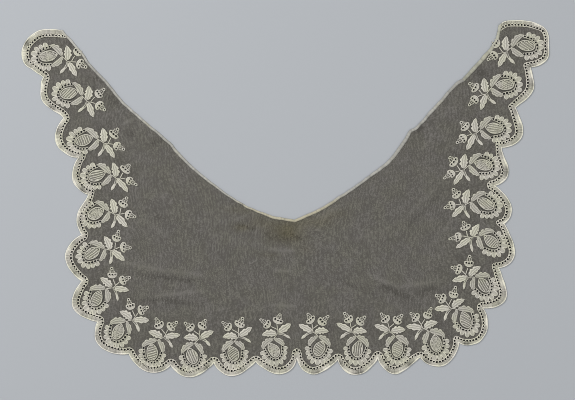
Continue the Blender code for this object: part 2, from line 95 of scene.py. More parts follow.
# One row for each scallop between the two front points, from the left front round to the right:
# the notch it starts at, its depth outside the chord at a fifth, half and four fifths of the way,
# and how far inside the edge the eyelets lie, at its middle and at its first notch
Scallop = namedtuple("Scallop", "x y near middle far row notch_row")
SCALLOPS = [Scallop(*row) for row in (
    (-242, 120.5, 7.8, 11, 4.6, 5, 4.5), (-221.5, 80, 11, 15.8, 11, 5.5, 4),
    (-207, 40.5, 6.8, 11, 7.5, 5.5, 6.5), (-197.5, 3.5, 2.7, 7.5, 5.5, 3.8, 6.2),
    (-203.5, -36.5, 11.7, 16.5, 10.2, 5.5, 4.6), (-203.5, -83, 12, 18, 11, 6, 5),
    (-187.5, -123.5, 12.8, 15.4, 9.3, 5, 4.8), (-156.5, -155.5, 7.8, 12.5, 9.2, 4.8, 4.5),
    (-114.5, -167, 9.7, 12.7, 7, 5.5, 4.7), (-71.5, -165, 10.2, 13.2, 7, 5, 4.5),
    (-29.5, -163.5, 8, 13.9, 11.5, 5.5, 4.2), (11.5, -160.5, 12.5, 14.7, 7.8, 5.5, 9.6),
    (52.5, -161.5, 12.8, 15.6, 9.5, 5.8, 4.2), (92.5, -160, 13, 15, 6.5, 6, 5.5),
    (135, -159.5, 11.8, 15.3, 10, 4.4, 4.2), (173.5, -145, 13.6, 16.9, 11.2, 4, 6.5),
    (198, -110, 14, 16.8, 8, 6, 5), (213.5, -70, 12.2, 12.9, 6.2, 4.2, 6.2),
    (219, -25.5, 9, 10.5, 5.7, 4.8, 7.5), (209.5, 12.5, 9.3, 10, 3.4, 5.8, 6.8),
    (216.5, 50.5, 12, 15.1, 7.8, 6.2, 7), (230, 90.5, 5.5, 10.4, 6.3, 6, 5.8),
)]
LAST_NOTCH = (245.0, 130.5)
LAST_NOTCH_ROW = 6.0
# The same distance at even steps along the outline of each front point
LEFT_POINT_ROWS = [5.5, 6.0, 6.0, 5.8, 5.5, 5.0, 3.9]
RIGHT_POINT_ROWS = [4.7, 4.6, 3.3, 3.2, 3.2, 4.4, 4.8, 4.8, 3.4]

# The outlines of the two front points, which double back past their chords
LEFT_POINT = [
    (-222.5, 168), (-235.5, 169), (-244.5, 168.2), (-251.5, 164.8), (-257.5, 159.5),
    (-262, 153), (-263.6, 145.5), (-262.8, 138.5), (-259, 132.5), (-252.5, 128), (-242, 120.5),
]
RIGHT_POINT = [
    (245, 130.5), (250.5, 131.5), (256, 133.8), (261.2, 138), (263.6, 144.5), (263.2, 153.5),
    (263.2, 162.5), (259.5, 170), (252.5, 174.2), (244, 177), (235.5, 178), (224.5, 177.6),
    (217.5, 176.2), (213, 172.5),
]

# The neck edge in its three lengths of binding, with the width of the strip at each point
LEFT_NECK = [
    (-222.5, 168, 2.1), (-205, 148, 2.1), (-193, 132, 2.3), (-179.5, 118, 2.4),
    (-161.5, 96.5, 2.3), (-140.5, 77.5, 2.2), (-117.5, 58, 2.3), (-105.5, 45, 2.5),
    (-90.5, 30, 2.3), (-69.5, 13, 1.9), (-50, -1, 1.7), (-29.5, -11.5, 1.8),
    (-10.5, -18, 2.4), (9, -21.5, 2.2),
]
RIGHT_NECK = [
    (9, -21.5, 2.4), (34.5, -10, 2.5), (64.5, 9, 2.3), (84.5, 23.5, 2.4), (102.5, 37.5, 3),
    (114.5, 53, 3.1), (124, 67, 2.8), (130.5, 71.5, 2.4), (144.5, 87, 2.8),
    (163.5, 108, 2.6), (169.5, 115, 2.8), (177, 119.5, 3.2),
]
FRONT_NECK = [
    (177, 119.5, 3.2), (186.5, 130, 3.4), (196.5, 141, 3.4), (204.5, 150.5, 3.4),
    (209.5, 158, 2.9), (212, 165.5, 2.8), (213, 172.5, 2.8),
]
NOTCH_CUT = (0.12, -1.0)
STEP_CUT = (0.62, -0.78)

# One row for each sprig, in the scallops' order: the middle of its flower, its turn from upright
# in degrees, the distance from there to the crossing of its stems, the lean of the rows of thread
# that fill its centre, or None where knots do, how far its berries sway to the right for each
# millimetre above the crossing, how far its centre tilts, and its pistils. The first twelve are
# mirrored.
Sprig = namedtuple("Sprig", "x y turn reach rows sway tilt pistils")
SPRIGS = [Sprig(*row) for row in (
    (-238.5, 141.5, -86, 21.3, None, 0, -4, 1), (-218, 104.5, -95, 21.5, 50, 0.03, -12, 2),
    (-203, 57.5, -81, 22.3, -8, -0.1, -6, 2), (-189.5, 22, -77, 20.5, 95, -0.25, -8, 2),
    (-190.5, -16, -73, 20.6, None, -0.05, -6, 2), (-194, -56, -62, 20.3, 84, 0.05, -6, 2),
    (-189, -101.5, -36, 20, -3, -0.05, -5, 2), (-167.5, -134.5, -31, 19.9, None, 0.07, -8, 2),
    (-133, -155, -17, 19.4, -20, -0.05, -14, 2), (-92.5, -159, -1, 19.9, 84, 0.09, -17, 2),
    (-51.5, -156, 5, 18.1, -22, 0.09, -10, 2), (-11.5, -152.5, 7, 17.6, None, 0.17, -18, 2),
    (33.5, -151.5, -1, 18.5, -20, 0.09, -18, 2), (72, -152, -2, 19.4, 92, -0.05, -3, 2),
    (112, -151.5, 4, 19.8, -17, 0, -14, 2), (150.5, -146.5, 21, 21.1, None, 0.07, -8, 2),
    (180.5, -123, 31, 20, -52, 0.09, -6, 2), (198.5, -88, 39, 17.7, 86, 0.05, -4, 2),
    (206.5, -44.5, 59, 21, -6, -0.28, -5, 2), (201.5, -6.5, 73, 22.2, 77, -0.13, -8, 2),
    (199, 32.5, 83, 20.9, None, -0.22, -4, 2), (210.5, 69.5, 87, 21, 88, -0.17, -5, 2),
    (221, 113.5, 97, 21.8, None, -0.13, -4, 2), (242.5, 152, 89, 22.4, 60, -0.02, -4, 1),
)]
MIRRORED_SPRIGS = 12
# The upright sprig's own distance to its crossing, and how far its copies stray in place and in tone
TEMPLATE_REACH = 20.2
SPRIG_WANDER = 0.8
UNEVEN_TONE = 0.22

# Soft folds of the laid cloth: the two ends of each crest, its half width and its height
Fold = namedtuple("Fold", "x0 y0 x1 y1 half_width height")
FOLDS = [Fold(*row) for row in (
    (9, -24, 11, -118, 2.2, 0.45), (-62, -48, -10, -52, 5, 0.5), (28, -53, 84, -44, 5, 0.5),
    (-148, -62, -44, -80, 7, 0.7), (-70, 2, -142, -36, 7, 0.55), (38, -78, 128, -88, 7, 0.6),
    (100, 18, 140, -46, 6, 0.55), (-24, -52, 20, -51, 2, 0.3), (-20, -72, 26, -74, 2, 0.3),
    (-36, -112, -8, -100, 2.5, 0.35), (12, -100, 38, -110, 2.5, 0.35), (88, -84, 148, -98, 3, 0.4),
    (-160, 60, -120, 20, 3.5, 0.4), (-170, 30, -128, 38, 3, 0.3), (160, 84, 186, 86, 1.6, 0.25),
)]


def flat(vector):
    return Vector((vector[0], vector[1]))


def side_of(direction):
    """The unit vector square to a direction, on its left."""
    return Vector((-direction.y, direction.x)).normalized()


def ways_across(run):
    """The unit vector square to a run at each of its points, on its left."""
    return [side_of(b - a) for a, b in zip(run[:1] + run, run[1:] + run[-1:])]


def cross(a, b):
    return a.x * b.y - a.y * b.x


def smooth_curve(points, steps=CURVE_STEPS):
    """A smooth run through points, with the given steps in each span."""
    knots = [Vector((*point, 0.0)[:3]) for point in points]
    chords = [b - a for a, b in zip([knots[0]] + knots, knots + [knots[-1]])]
    tangents = [(a + b).normalized() for a, b in zip(chords, chords[1:])]
    run = []
    for start, end, leaving, arriving in zip(knots, knots[1:], tangents, tangents[1:]):
        third = (end - start).length / 3
        handles = start + leaving * third, end - arriving * third
        run += interpolate_bezier(start, *handles, end, steps + 1)[:-1]
    return run + [knots[-1]]


def even_spacing(points, count):
    """The same run as count equal steps."""
    lengths = [0.0]
    for a, b in zip(points, points[1:]):
        lengths.append(lengths[-1] + (b - a).length)
    run, span = [], 0
    for i in range(count):
        target = lengths[-1] * i / count
        while lengths[span + 1] < target:
            span += 1
        part = (target - lengths[span]) / (lengths[span + 1] - lengths[span])
        run.append(points[span].lerp(points[span + 1], part))
    return run + [points[-1]]


def scallop_depth(scallop, t):
    """How far a scallop's edge stands outside its chord, a part t of the way along."""
    depth = 0.0
    for station, value in zip(DEPTH_STATIONS, (scallop.near, scallop.middle, scallop.far)):
        weight = value / (4 * station * (1 - station)) ** ROUNDNESS
        for other in DEPTH_STATIONS:
            if other != station:
                weight *= (t - other) / (station - other)
        depth += weight
    return depth * (4 * t * (1 - t)) ** ROUNDNESS


def scallop_edge(scallop, end):
    start = Vector((scallop.x, scallop.y))
    chord = Vector(end) - start
    run = []
    for i in range(2 * SCALLOP_STEPS + 1):
        t = (1 - math.cos(math.pi * i / (2 * SCALLOP_STEPS))) / 2
        run.append(start + chord * t - side_of(chord) * scallop_depth(scallop, t))
    return run


def edge_runs():
    """The outer edge, one run of points and the eyelets' distances along it for each scallop."""
    ends = [(s.x, s.y) for s in SCALLOPS[1:]] + [LAST_NOTCH]
    notch_rows = [s.notch_row for s in SCALLOPS] + [LAST_NOTCH_ROW]
    runs = [(smooth_curve(LEFT_POINT), (LEFT_POINT_ROWS[0], *LEFT_POINT_ROWS, notch_rows[0]))]
    for scallop, end, first, last in zip(SCALLOPS, ends, notch_rows, notch_rows[1:]):
        runs.append((scallop_edge(scallop, end), (first, scallop.row, scallop.row, last)))
    runs.append((smooth_curve(RIGHT_POINT), (LAST_NOTCH_ROW, *RIGHT_POINT_ROWS, RIGHT_POINT_ROWS[-1])))
    counts = [POINT_STEPS] + [SCALLOP_STEPS] * len(SCALLOPS) + [POINT_STEPS]
    return [(even_spacing([flat(p) for p in run], count), rows) for (run, rows), count in zip(runs, counts)]


def side_row(row):
    """The eyelets' distance beside a notch: the deeper they lie in it, the nearer beside it."""
    if row <= NOTCH_SIDE_ROW:
        return row
    return max(LEAST_SIDE_ROW, NOTCH_SIDE_ROW - SIDE_EASE * (row - NOTCH_SIDE_ROW))


def value_along(values, t):
    """The value at a share of the way along a run, from its values at even steps."""
    place = t * (len(values) - 1)
    low = min(int(place), len(values) - 2)
    return values[low] + (values[low + 1] - values[low]) * (place - low)


def edge_ribs():
    """Ribs across the edging: a point of the outer edge, the way inwards, the eyelets' distance and
    whether it stands at a notch. Where the eyelets lie deep at a notch, they meet there in a point."""
    ribs = []
    runs = edge_runs()
    for run, (first, *middles, last) in runs:
        ways = ways_across(run)
        if ribs:
            notch, before = ribs[-1][:2]
            side = side_row(first)
            for i in range(1, NOTCH_STEPS):
                peak = math.sin(math.pi * i / NOTCH_STEPS) ** 2
                row = side + (first - side) * peak
                ribs.append([notch, before.slerp(ways[0], i / NOTCH_STEPS), row, i == NOTCH_STEPS // 2])
        if ribs:
            first = side_row(first)
        if run is not runs[-1][0]:
            last = side_row(last)
        for i, (point, way) in enumerate(zip(run, ways)):
            t = i / (len(run) - 1)
            swell = math.sin(math.pi * t) ** 0.6
            row = (first + (last - first) * t) * (1 - swell) + value_along(middles, t) * swell
            ribs.append([point, way, row, False])
    for rib in ribs:
        rib[2] += EYELETS_IN
    for step in range(RIB_SMOOTHING):
        ways = [rib[1] for rib in ribs]
        rows = [rib[2] for rib in ribs]
        for i in range(1, len(ribs) - 1):
            ribs[i][1] = (ways[i - 1] + 2 * ways[i] + ways[i + 1]).normalized()
            if step < ROW_SMOOTHING:
                ribs[i][2] = (rows[i - 1] + 2 * rows[i] + rows[i + 1]) / 4
    return ribs


def neck_ribs(points, first_way, last_way):
    """Ribs across one length of neck binding: a point, the way into the cloth and the strip's width."""
    run = smooth_curve(points, NECK_STEPS)
    ways = ways_across([flat(knot) for knot in run])
    ribs = [[flat(knot), -way, knot.z] for knot, way in zip(run, ways)]
    for i, way in ((0, first_way), (-1, last_way)):
        ribs[i][1] = way / abs(way.dot(ribs[i][1]))
    return ribs


def trimmed_at_points(ribs, left_end, right_end):
    """The edge ribs cut back to the binding, with the end ribs turned along the neck edge."""
    for corner_end, order in ((left_end, 1), (right_end, -1)):
        corner, along_neck, width = corner_end
        ordered = ribs[::order]
        along_edge = (ordered[4][0] - ordered[0][0]).normalized()
        slope = abs(cross(along_edge, along_neck))
        start = corner + along_edge * ((width + SEAM_GAP) / slope)
        reach = (start - corner).length
        ordered = [rib for rib in ordered if (rib[0] - corner).length > reach + 0.5]
        ordered.insert(0, [start, ordered[0][1], ordered[0][2], False])
        for rib in ordered:
            away = (rib[0] - start).length
            if away > TIP_EASE:
                break
            ease = away / TIP_EASE
            rib[1] = (along_neck / slope).lerp(rib[1], ease * ease * (3 - 2 * ease))
        ribs = ordered[::order]
    return ribs


def drift(count, step, *place):
    """Smooth noise at every station of a run."""
    return [noise.noise(Vector((i * step, *place))) for i in range(count + 1)]


class Run:
    """A run of ribs that can be read at any length along it."""

    def __init__(self, ribs, measured):
        self.ribs = ribs
        self.lengths = [0.0]
        points = [measured(rib) for rib in ribs]
        for a, b in zip(points, points[1:]):
            self.lengths.append(self.lengths[-1] + max((b - a).length, 1e-4))
        self.length = self.lengths[-1]

    def at(self, length):
        length = min(max(length, 0.0), self.length)
        low, high = 0, len(self.lengths) - 1
        while high - low > 1:
            middle = (low + high) // 2
            if self.lengths[middle] > length:
                high = middle
            else:
                low = middle
        part = (length - self.lengths[low]) / (self.lengths[high] - self.lengths[low])
        a, b = self.ribs[low], self.ribs[high]
        return a[0].lerp(b[0], part), a[1].lerp(b[1], part), a[2] + (b[2] - a[2]) * part


# Needlework


def mirrored(*half):
    """A section whose second side is like its first."""
    return [*half, *((-across, up, tone) for across, up, tone in half[::-1] if across)]


# Sections of padded work, from one foot over the top to the other: across in half widths, height as a
# share of the whole, and tone: the thread's own, with painted shade at the feet and in hollows, and
# painted highlight on raised rims and crests
DOME = mirrored((-1, 0, 0.5), (-1, 0.5, 0.85), (-0.8, 0.85, 1), (-0.4, 0.98, 0.9), (0, 1, 0.85))
VEINED = [(-1, 0, 0.5), (-1, 0.5, 0.95), (-0.8, 0.95, 1.05), (-0.62, 0.98, 0.9), (-0.42, 0.86, 0.58),
          (-0.24, 0.84, 0.52), (-0.1, 0.95, 0.95), (0.1, 0.95, 0.95), (0.24, 0.84, 0.56),
          (0.42, 0.86, 0.66), (0.62, 0.98, 0.95), (0.8, 0.95, 1.05), (1, 0.5, 0.95), (1, 0, 0.5)]
RIMMED = mirrored((-1, 0, 0.3), (-1, 0.6, 0.95), (-0.72, 1, 1.08), (-0.5, 0.8, 0.74), (-0.2, 0.7, 0.68),
                  (0, 0.74, 0.74))
SLIT = mirrored((-1, 0, 0.5), (-1, 0.6, 0.95), (-0.62, 1, 1), (-0.3, 0.7, 0.4), (0, 0.5, 0.1))
TWIST = mirrored((-1, 0, 0.6), (-0.92, 0.55, 0.9), (-0.45, 0.95, 1))
CUPPED = [(-1, 0, 0.5), (-1, 0.6, 0.9), (-0.6, 1, 1), (-0.1, 0.9, 0.8), (0.3, 0.85, 0.78),
          (0.5, 0.92, 0.9), (0.66, 0.82, 0.62), (0.82, 0.95, 1), (1, 0.6, 0.95), (1, 0, 0.5)]
HOOP = [(-1, 0, 0.7), (-1, 0.6, 0.8), (-0.5, 0.97, 0.95), (0.5, 0.97, 1), (1, 0.6, 0.9), (1, 0, 0.6)]
# The low strip round the stitches, painted dark as their shadow on the cloth, from its foot to where it
# meets the stitches
SHADOW_HALO = mirrored((-1.01, 0, 0.1), (-1, 0.2, 0.12))


def rounded_ends(t):
    """A leaf's swell, the same on both sides."""
    swell = math.sin(math.pi * t) ** 0.55 if 0 < t < 1 else 0.0
    return swell, swell


def lobed(left, right, depth, lean=1.0, power=0.55):
    """A leaf's swell with lobes along each side. A lean under 1 carries the widest part to its root."""

    def sides(t):
        if not 0 < t < 1:
            return 0.0, 0.0
        swell = math.sin(math.pi * t ** lean) ** power
        notches = [(1 - abs(math.sin(math.pi * (count * t + 0.12)))) ** 1.2 for count in (left, right)]
        uneven = depth * (1 + 0.4 * math.sin(9 * t + left))
        return tuple(swell * (1 - uneven * notch * (count > 0))
                     for count, notch in zip((left, right), notches))
    return sides


def laid_piece(bm, name, material, shift):
    """A finished piece, moved to its place on the collar and brought to metres."""
    bmesh.ops.translate(bm, vec=Vector((*shift, 0.0)), verts=bm.verts)
    bmesh.ops.scale(bm, vec=Vector((MM, MM, MM)), verts=bm.verts)
    for face in bm.faces:
        face.smooth = True
    mesh = bpy.data.meshes.new(name)
    bm.to_mesh(mesh)
    bm.free()
    mesh.materials.append(material)
    piece = bpy.data.objects.new(name, mesh)
    bpy.context.scene.collection.objects.link(piece)
    return piece


class Needlework:
    """One piece of worked thread. Each point keeps a tone, from painted shade to white, and a stitch
    length.
    """

    def __init__(self):
        self.bm = bmesh.new()
        self.tone = self.bm.verts.layers.float.new("tone")
        self.stitch = self.bm.verts.layers.float.new("stitch")

    def skin(self, along, around, place):
        """A skin of panes, closed where its sides meet. place(i, j) gives a point, a tone and a stitch."""
        verts = bmesh.ops.create_grid(self.bm, x_segments=along, y_segments=around, size=0.5)["verts"]
        for vert in verts:
            i, j = round((vert.co.x + 0.5) * along), round((vert.co.y + 0.5) * around)
            vert.co, vert[self.tone], vert[self.stitch] = place(i, j % around)
        bmesh.ops.remove_doubles(self.bm, verts=verts, dist=0.002)

    def blade(self, points, half_width, height, base=WORK_BOTTOM, section=DOME, pitch=THREAD_PITCH,
              ridge=0.06, tone=0.8, sides=rounded_ends, shadow_halo=0.0):
        """Padded satin stitch along a line, its threads lying across it. A shadow halo is the low strip of
        cloth on both sides, painted dark as the stitches' shadow."""
        run = [flat(point) for point in smooth_curve(points)]
        length = sum((b - a).length for a, b in zip(run, run[1:]))
        count = max(4, 2 * round(length / pitch / 2))
        run = even_spacing(run, count)
        ways = ways_across(run)
        if shadow_halo:
            section = SHADOW_HALO[:2] + section[1:-1] + SHADOW_HALO[2:]

        def place(i, j):
            t = i / count
            across, up, shade = section[j]
            thread = 1.0 if i % 2 else 1.0 - ridge
            swells = sides(t) if 0 < i < count else (0.0, 0.0)
            wide = half_width * swells[across < 0] * (0.5 + 0.5 * thread)
            lift = height * (0.45 + 0.55 * min(1.0, 1.6 * min(swells))) * thread
            # Painted light and shade: the shadow halo is dark, the upper stitches are painted towards white
            # near both ends as a highlight, and raised threads a little lighter
            if abs(across) > 1:
                wide = wide / abs(across) + shadow_halo
                across = math.copysign(1.0, across)
            elif up > 0.4:
                shade = max(shade, 1.0 - 12 * min(t, 1 - t))
            point = run[i] + ways[i] * (across * wide)
            shade *= tone * (0.94 + 0.06 * thread)
            return Vector((point.x, point.y, base + up * lift)), shade, length * t

        self.skin(count, len(section), place)

    def cord(self, points, radius, base=WORK_BOTTOM, height=None, tone=0.85, pitch=0.8, ridge=0.12):
        """A whipped or twisted thread laid along a line."""
        height = 1.8 * radius if height is None else height
        self.blade(points, radius, height, base, TWIST, pitch, ridge, tone,
                   sides=lambda t: (min(1.0, 0.5 + 12 * min(t, 1 - t)),) * 2)

    def hoop(self, middle, radii, half_width, height, base=WORK_BOTTOM, steps=12, tone=0.9,
             bend=lambda x, y: (x, y), section=HOOP):
        """A worked ring, round or oval."""

        def place(i, j):
            angle = math.tau * (i % steps) / steps
            out, up, shade = section[j]
            wide, high = (radius + out * half_width for radius in radii)
            x, y = bend(wide * math.cos(angle), high * math.sin(angle))
            point = Vector((middle[0] + x, middle[1] + y, base + up * height))
            return point, tone * shade, angle * radii[0]

        self.skin(steps, len(section), place)

    def eyelet(self, middle, radius, outer, height, base=WORK_BOTTOM, tone=0.85, floor=0.4):
        """A pierced hole with a worked rim, drawn as a shallow cup: its floor and inner wall are painted
        near black as the hole's shadow, and its rim is painted lighter on top than at its foot.
        """
        wide = outer - radius
        cup = [(-radius, floor, 0), (0, floor, 0), (0, 0.9, 0), (0.15 * wide, 0.98, 0.92),
               (0.5 * wide, 1, 1), (0.8 * wide, 0.85, 0.92), (wide, 0.45, 0.75), (wide, 0, 0.6),
               (-radius, 0, 0)]
        self.hoop(middle, (radius, radius), 1.0, height, base, EYELET_STEPS, tone, section=cup)

    def piece(self, name, material, shift):
        bm = self.bm
        bmesh.ops.delete(bm, geom=[edge for edge in bm.edges if edge.is_wire], context="EDGES")
        bmesh.ops.holes_fill(bm, edges=[edge for edge in bm.edges if edge.is_boundary], sides=0)
        bmesh.ops.recalc_face_normals(bm, faces=bm.faces)
        return laid_piece(bm, name, material, shift)


# The upright sprig

PETAL_MIDDLE = Vector((-0.2, -0.4))
PETALS = 9
PETAL_START, PETAL_END = 161, 370
PETAL_ROOT = 9.3
SIDE_PETAL_TIP, LOW_PETAL_TIP = 14.0, 16.0
FOOTINGS = (-0.8, 1.05)
CENTRE_MIDDLE = Vector((0.3, 1.2))
CENTRE_RADII = (5.1, 7.9)
FILLING_BOTTOM = WORK_BOTTOM + 0.18
ROW_SPACING, ROW_RADIUS, SHORTEST_ROW = 2.2, 0.62, 2.0
KNOT_SPACING = 2.0
ARC_EYELETS = [(-8.8, 3.2), (-8.4, 0.3), (-8, -2.7), (-6.9, -5.6), (-5, -8), (-2.2, -9.3), (0.9, -9),
               (3.6, -7.6), (5.8, -5.4), (7.5, -2.7), (8.7, 0.3), (9.5, 3.1)]
Leaf = namedtuple("Leaf", "points half_width sides")
LEAVES = [
    Leaf([(-5.0, 19.5), (2.6, 20.5), (9.8, 19.8)], 4.2, lobed(4, 4, 0.32, 0.78, 0.82)),
    Leaf([(-7.4, 20.3), (-14.3, 23.7), (-21.3, 27.1)], 3.5, lobed(3, 3, 0.26, 0.85, 0.66)),
]
SEPALS = [
    Leaf([(-1.8, 14.5), (-5.9, 11.7), (-8.8, 7.8), (-10.3, 3.4)], 2.9, lobed(0, 4, 0.36, 0.9)),
    Leaf([(-0.8, 14.5), (5.0, 12.0), (9.2, 8.0), (11.2, 3.5)], 3.2, lobed(4, 0, 0.4, 0.85)),
]
SLIT_LEAF = [(-6.0, 18.8), (-10.2, 18.0), (-14.0, 15.4), (-16.6, 12.6)]
SLIT_LEAF_END = [(-11.6, 17.0), (-14.8, 14.6), (-17.8, 11.5)]
STEMS = [
    [(-1.0, 13.6), (-3.4, 16.6), (-6.4, 19.4)],
    [(-6.4, 19.0), (-6.9, 21.4), (-6.9, 23.6)],
    [(-6.9, 23.2), (-7.3, 25.6), (-7.8, 28.4)],
    [(-6.9, 23.0), (-4.4, 24.6), (-1.2, 26.9)],
]

# Each berry hangs on its own axes: across it, and outwards from its stem
Berry = namedtuple("Berry", "x y lean")
BERRIES = [Berry(-9.8, 32.0, 127), Berry(2.3, 30.1, 48)]
BERRY_BODY = [(-4.9, 1.0), (0.0, -0.8), (4.9, 1.0)]
BERRY_BULGE, BERRY_BRIM = 3.4, 2.5
BERRY_EYELETS = [(-2.8, 0.1), (0.0, -0.2), (2.8, 0.1)]
HOLE_SIZES = (0.75, 0.85, 0.95, 1.05)
CROWN = [(-2.2, 1.6), (1.8, 1.9)]
PISTIL = [(0.0, 1.4), (-0.4, 3.0), (-0.4, 4.8)]
PISTIL_RING = (-0.4, 6.3)
PISTIL_KNOTS = [(-2.1, 4.4), (1.4, 4.6)]


def petal_sides(t):
    """A petal's swell: narrow at its root, rounded at its outer end."""
    rounding = max(0.0, (t - 0.5) / 0.5)
    swell = (0.84 + 0.16 * min(1.0, t / 0.35)) * max(0.0, 1 - rounding ** 2) ** 0.65
    return swell, swell


def petals(work):
    pitch = (PETAL_END - PETAL_START) / PETALS
    for k in range(PETALS):
        angle = math.radians(PETAL_START + (k + 0.5) * pitch)
        ray = Vector((math.cos(angle), math.sin(angle)))
        reach = SIDE_PETAL_TIP + (LOW_PETAL_TIP - SIDE_PETAL_TIP) * ray.y ** 2 + 0.4 * math.cos(2.3 * k)
        root, tip = PETAL_MIDDLE + ray * PETAL_ROOT, PETAL_MIDDLE + ray * reach
        half = 0.5 * reach * math.radians(pitch) * (0.78 + 0.06 * math.sin(1.7 * k))
        work.blade([root, (root + tip) / 2, tip], half, 0.8, section=RIMMED, pitch=0.5, tone=0.92,
                   sides=petal_sides, shadow_halo=0.35)


def chord_ends(direction, offset, radii):
    """The two ends of a straight line across an oval, or None where it misses."""
    side = side_of(direction)
    a = (direction.x / radii[0]) ** 2 + (direction.y / radii[1]) ** 2
    b = 2 * offset * (direction.x * side.x / radii[0] ** 2 + direction.y * side.y / radii[1] ** 2)
    c = offset ** 2 * ((side.x / radii[0]) ** 2 + (side.y / radii[1]) ** 2) - 1
    inside = b * b - 4 * a * c
    if inside <= 0:
        return None
    root = math.sqrt(inside)
    return [side * offset + direction * ((-b + sign * root) / (2 * a)) for sign in (-1, 1)]


def rows_of_thread(work, degrees, radii, draw):
    """Parallel rows of thread over the oval."""
    angle = math.radians(degrees)
    direction = Vector((math.cos(angle), math.sin(angle)))
    reach = math.floor(max(radii) / ROW_SPACING)
    for k in range(-reach, reach + 1):
        ends = chord_ends(direction, k * ROW_SPACING, radii)
        if not ends or (ends[1] - ends[0]).length < SHORTEST_ROW:
            continue
        start, end = [CENTRE_MIDDLE + p * 0.98 for p in ends]
        bow = side_of(end - start) * draw.uniform(-0.2, 0.5)
        radius = ROW_RADIUS * draw.uniform(0.85, 1.1)
        work.cord([start, (start + end) / 2 + bow, end], radius, FILLING_BOTTOM,
                  tone=draw.uniform(0.8, 0.95), ridge=0.45)


def knots(work, radii, draw):
    """Small rings in staggered, uneven rows over the oval."""
    rows = math.ceil(radii[1] / KNOT_SPACING)
    for row in range(-rows, rows + 1):
        y = row * KNOT_SPACING * 0.88
        for k in range(-4, 5):
            x = (k + 0.5 * (row % 2)) * KNOT_SPACING
            if (x / radii[0]) ** 2 + (y / radii[1]) ** 2 < 0.92:
                x, y = x + draw.uniform(-0.1, 0.1), y + draw.uniform(-0.1, 0.1)
                size = draw.uniform(0.62, 0.8)
                work.hoop(CENTRE_MIDDLE + Vector((x, y)), (size, size), 0.3, draw.uniform(0.4, 0.6),
                          FILLING_BOTTOM, 7, draw.uniform(0.8, 1.0))


def pointed(x, y):
    """Draws the top of the centre in towards a point."""
    rise = max(0.0, y / CENTRE_RADII[1])
    return x * (1 - 0.4 * rise ** 3) + 0.5 * rise, y * (1 + 0.08 * rise)


def shaded_bed_and_rim(work):
    """A low dark bed under the flower's oval centre, painted as the shade round and under it, and the
    centre's rim.
    """
    low = CENTRE_MIDDLE - Vector((0, CENTRE_RADII[1] + 1.2))
    high = CENTRE_MIDDLE + Vector((0.5, CENTRE_RADII[1] + 1))
    work.blade([low, CENTRE_MIDDLE, high], CENTRE_RADII[0] + 1.7, 0.22, tone=0.1, pitch=1.2, ridge=0.0)
    work.hoop(CENTRE_MIDDLE, CENTRE_RADII, 0.55, 0.75, steps=36, tone=0.82, bend=pointed)


def centre_filling(work, row, draw):
    """Open stitches over the oval: rows of thread at their own lean, or knots where it has none."""
    inner = (CENTRE_RADII[0] - 0.3, CENTRE_RADII[1] - 0.4)
    low, high = CENTRE_MIDDLE - Vector((0, inner[1])), CENTRE_MIDDLE + Vector((0.4, inner[1]))
    bed = 0.25 if row.rows is None else draw.uniform(0.3, 0.52)
    work.blade([low, CENTRE_MIDDLE, high], inner[0], 0.36, tone=bed, pitch=1.0, ridge=0.15)
    if row.rows is None:
        knots(work, inner, draw)
    else:
        rows_of_thread(work, row.rows, inner, draw)


def berry_sides(t):
    """A berry's swell: full on the side of its stem, a narrow brim outwards."""
    swell = math.sin(math.pi * t) ** 0.45 if 0 < t < 1 else 0.0
    return swell, swell * BERRY_BRIM / BERRY_BULGE


def berry_spot(row):
    """Turns a place on a berry's own axes into one on the sprig's."""
    lean = math.radians(row.lean)
    outwards = Vector((math.cos(lean), math.sin(lean)))

    def spot(place):
        return Vector((row.x, row.y)) + side_of(outwards) * place[0] + outwards * place[1]
    return spot


def berry(work, row):
    """A padded kidney with two tufts over it."""
    spot = berry_spot(row)
    for place in CROWN:
        work.blade([spot(place), spot((place[0], place[1] + 2.0))], 0.85, 0.55, tone=0.74, pitch=0.5)
    work.blade([spot(place) for place in BERRY_BODY], BERRY_BULGE, 0.85, section=CUPPED, tone=0.94,
               sides=berry_sides, shadow_halo=0.4)


def berry_holes(work, row, draw):
    """The eyelets along a berry's brim, uneven in size."""
    spot = berry_spot(row)
    for place in BERRY_EYELETS:
        radius = draw.choice(HOLE_SIZES)
        work.eyelet(spot(place), radius, 1.5, 1.3, tone=draw.uniform(0.88, 1.0), floor=0.68)


def pistil(work, row):
    """A stalk with a small ring at its end and a knot on either side."""
    spot = berry_spot(row)
    work.cord([spot(place) for place in PISTIL], 0.5, tone=0.72)
    for place in PISTIL_KNOTS:
        work.eyelet(spot(place), 0.15, 0.75, 0.7, tone=0.7)
    work.eyelet(spot(PISTIL_RING), 0.68, 1.75, 0.95, tone=0.82)


def upright_sprig():
    work = Needlework()
    petals(work)
    arc = [Vector(spot) for spot in ARC_EYELETS]
    for offset in FOOTINGS:
        line = [spot + way * offset for spot, way in zip(arc, ways_across(arc))]
        work.cord(line, 0.5, height=0.55, tone=0.72)
    for leaves, height, tone in ((SEPALS, 0.85, 0.77), (LEAVES, 1.25, 0.95)):
        for leaf in leaves:
            work.blade(leaf.points, leaf.half_width, height, section=VEINED, tone=tone, sides=leaf.sides,
                       shadow_halo=0.5)
    work.blade(SLIT_LEAF, 1.3, 0.8, section=SLIT, tone=0.85, shadow_halo=0.3)
    work.blade(SLIT_LEAF_END, 1.55, 1.0, tone=0.92, sides=lobed(0, 0, 0.0, 1.1, 0.8), shadow_halo=0.4)
    for line in STEMS:
        work.cord(line, 0.5, tone=0.86)
    for row in BERRIES:
        berry(work, row)
    return work


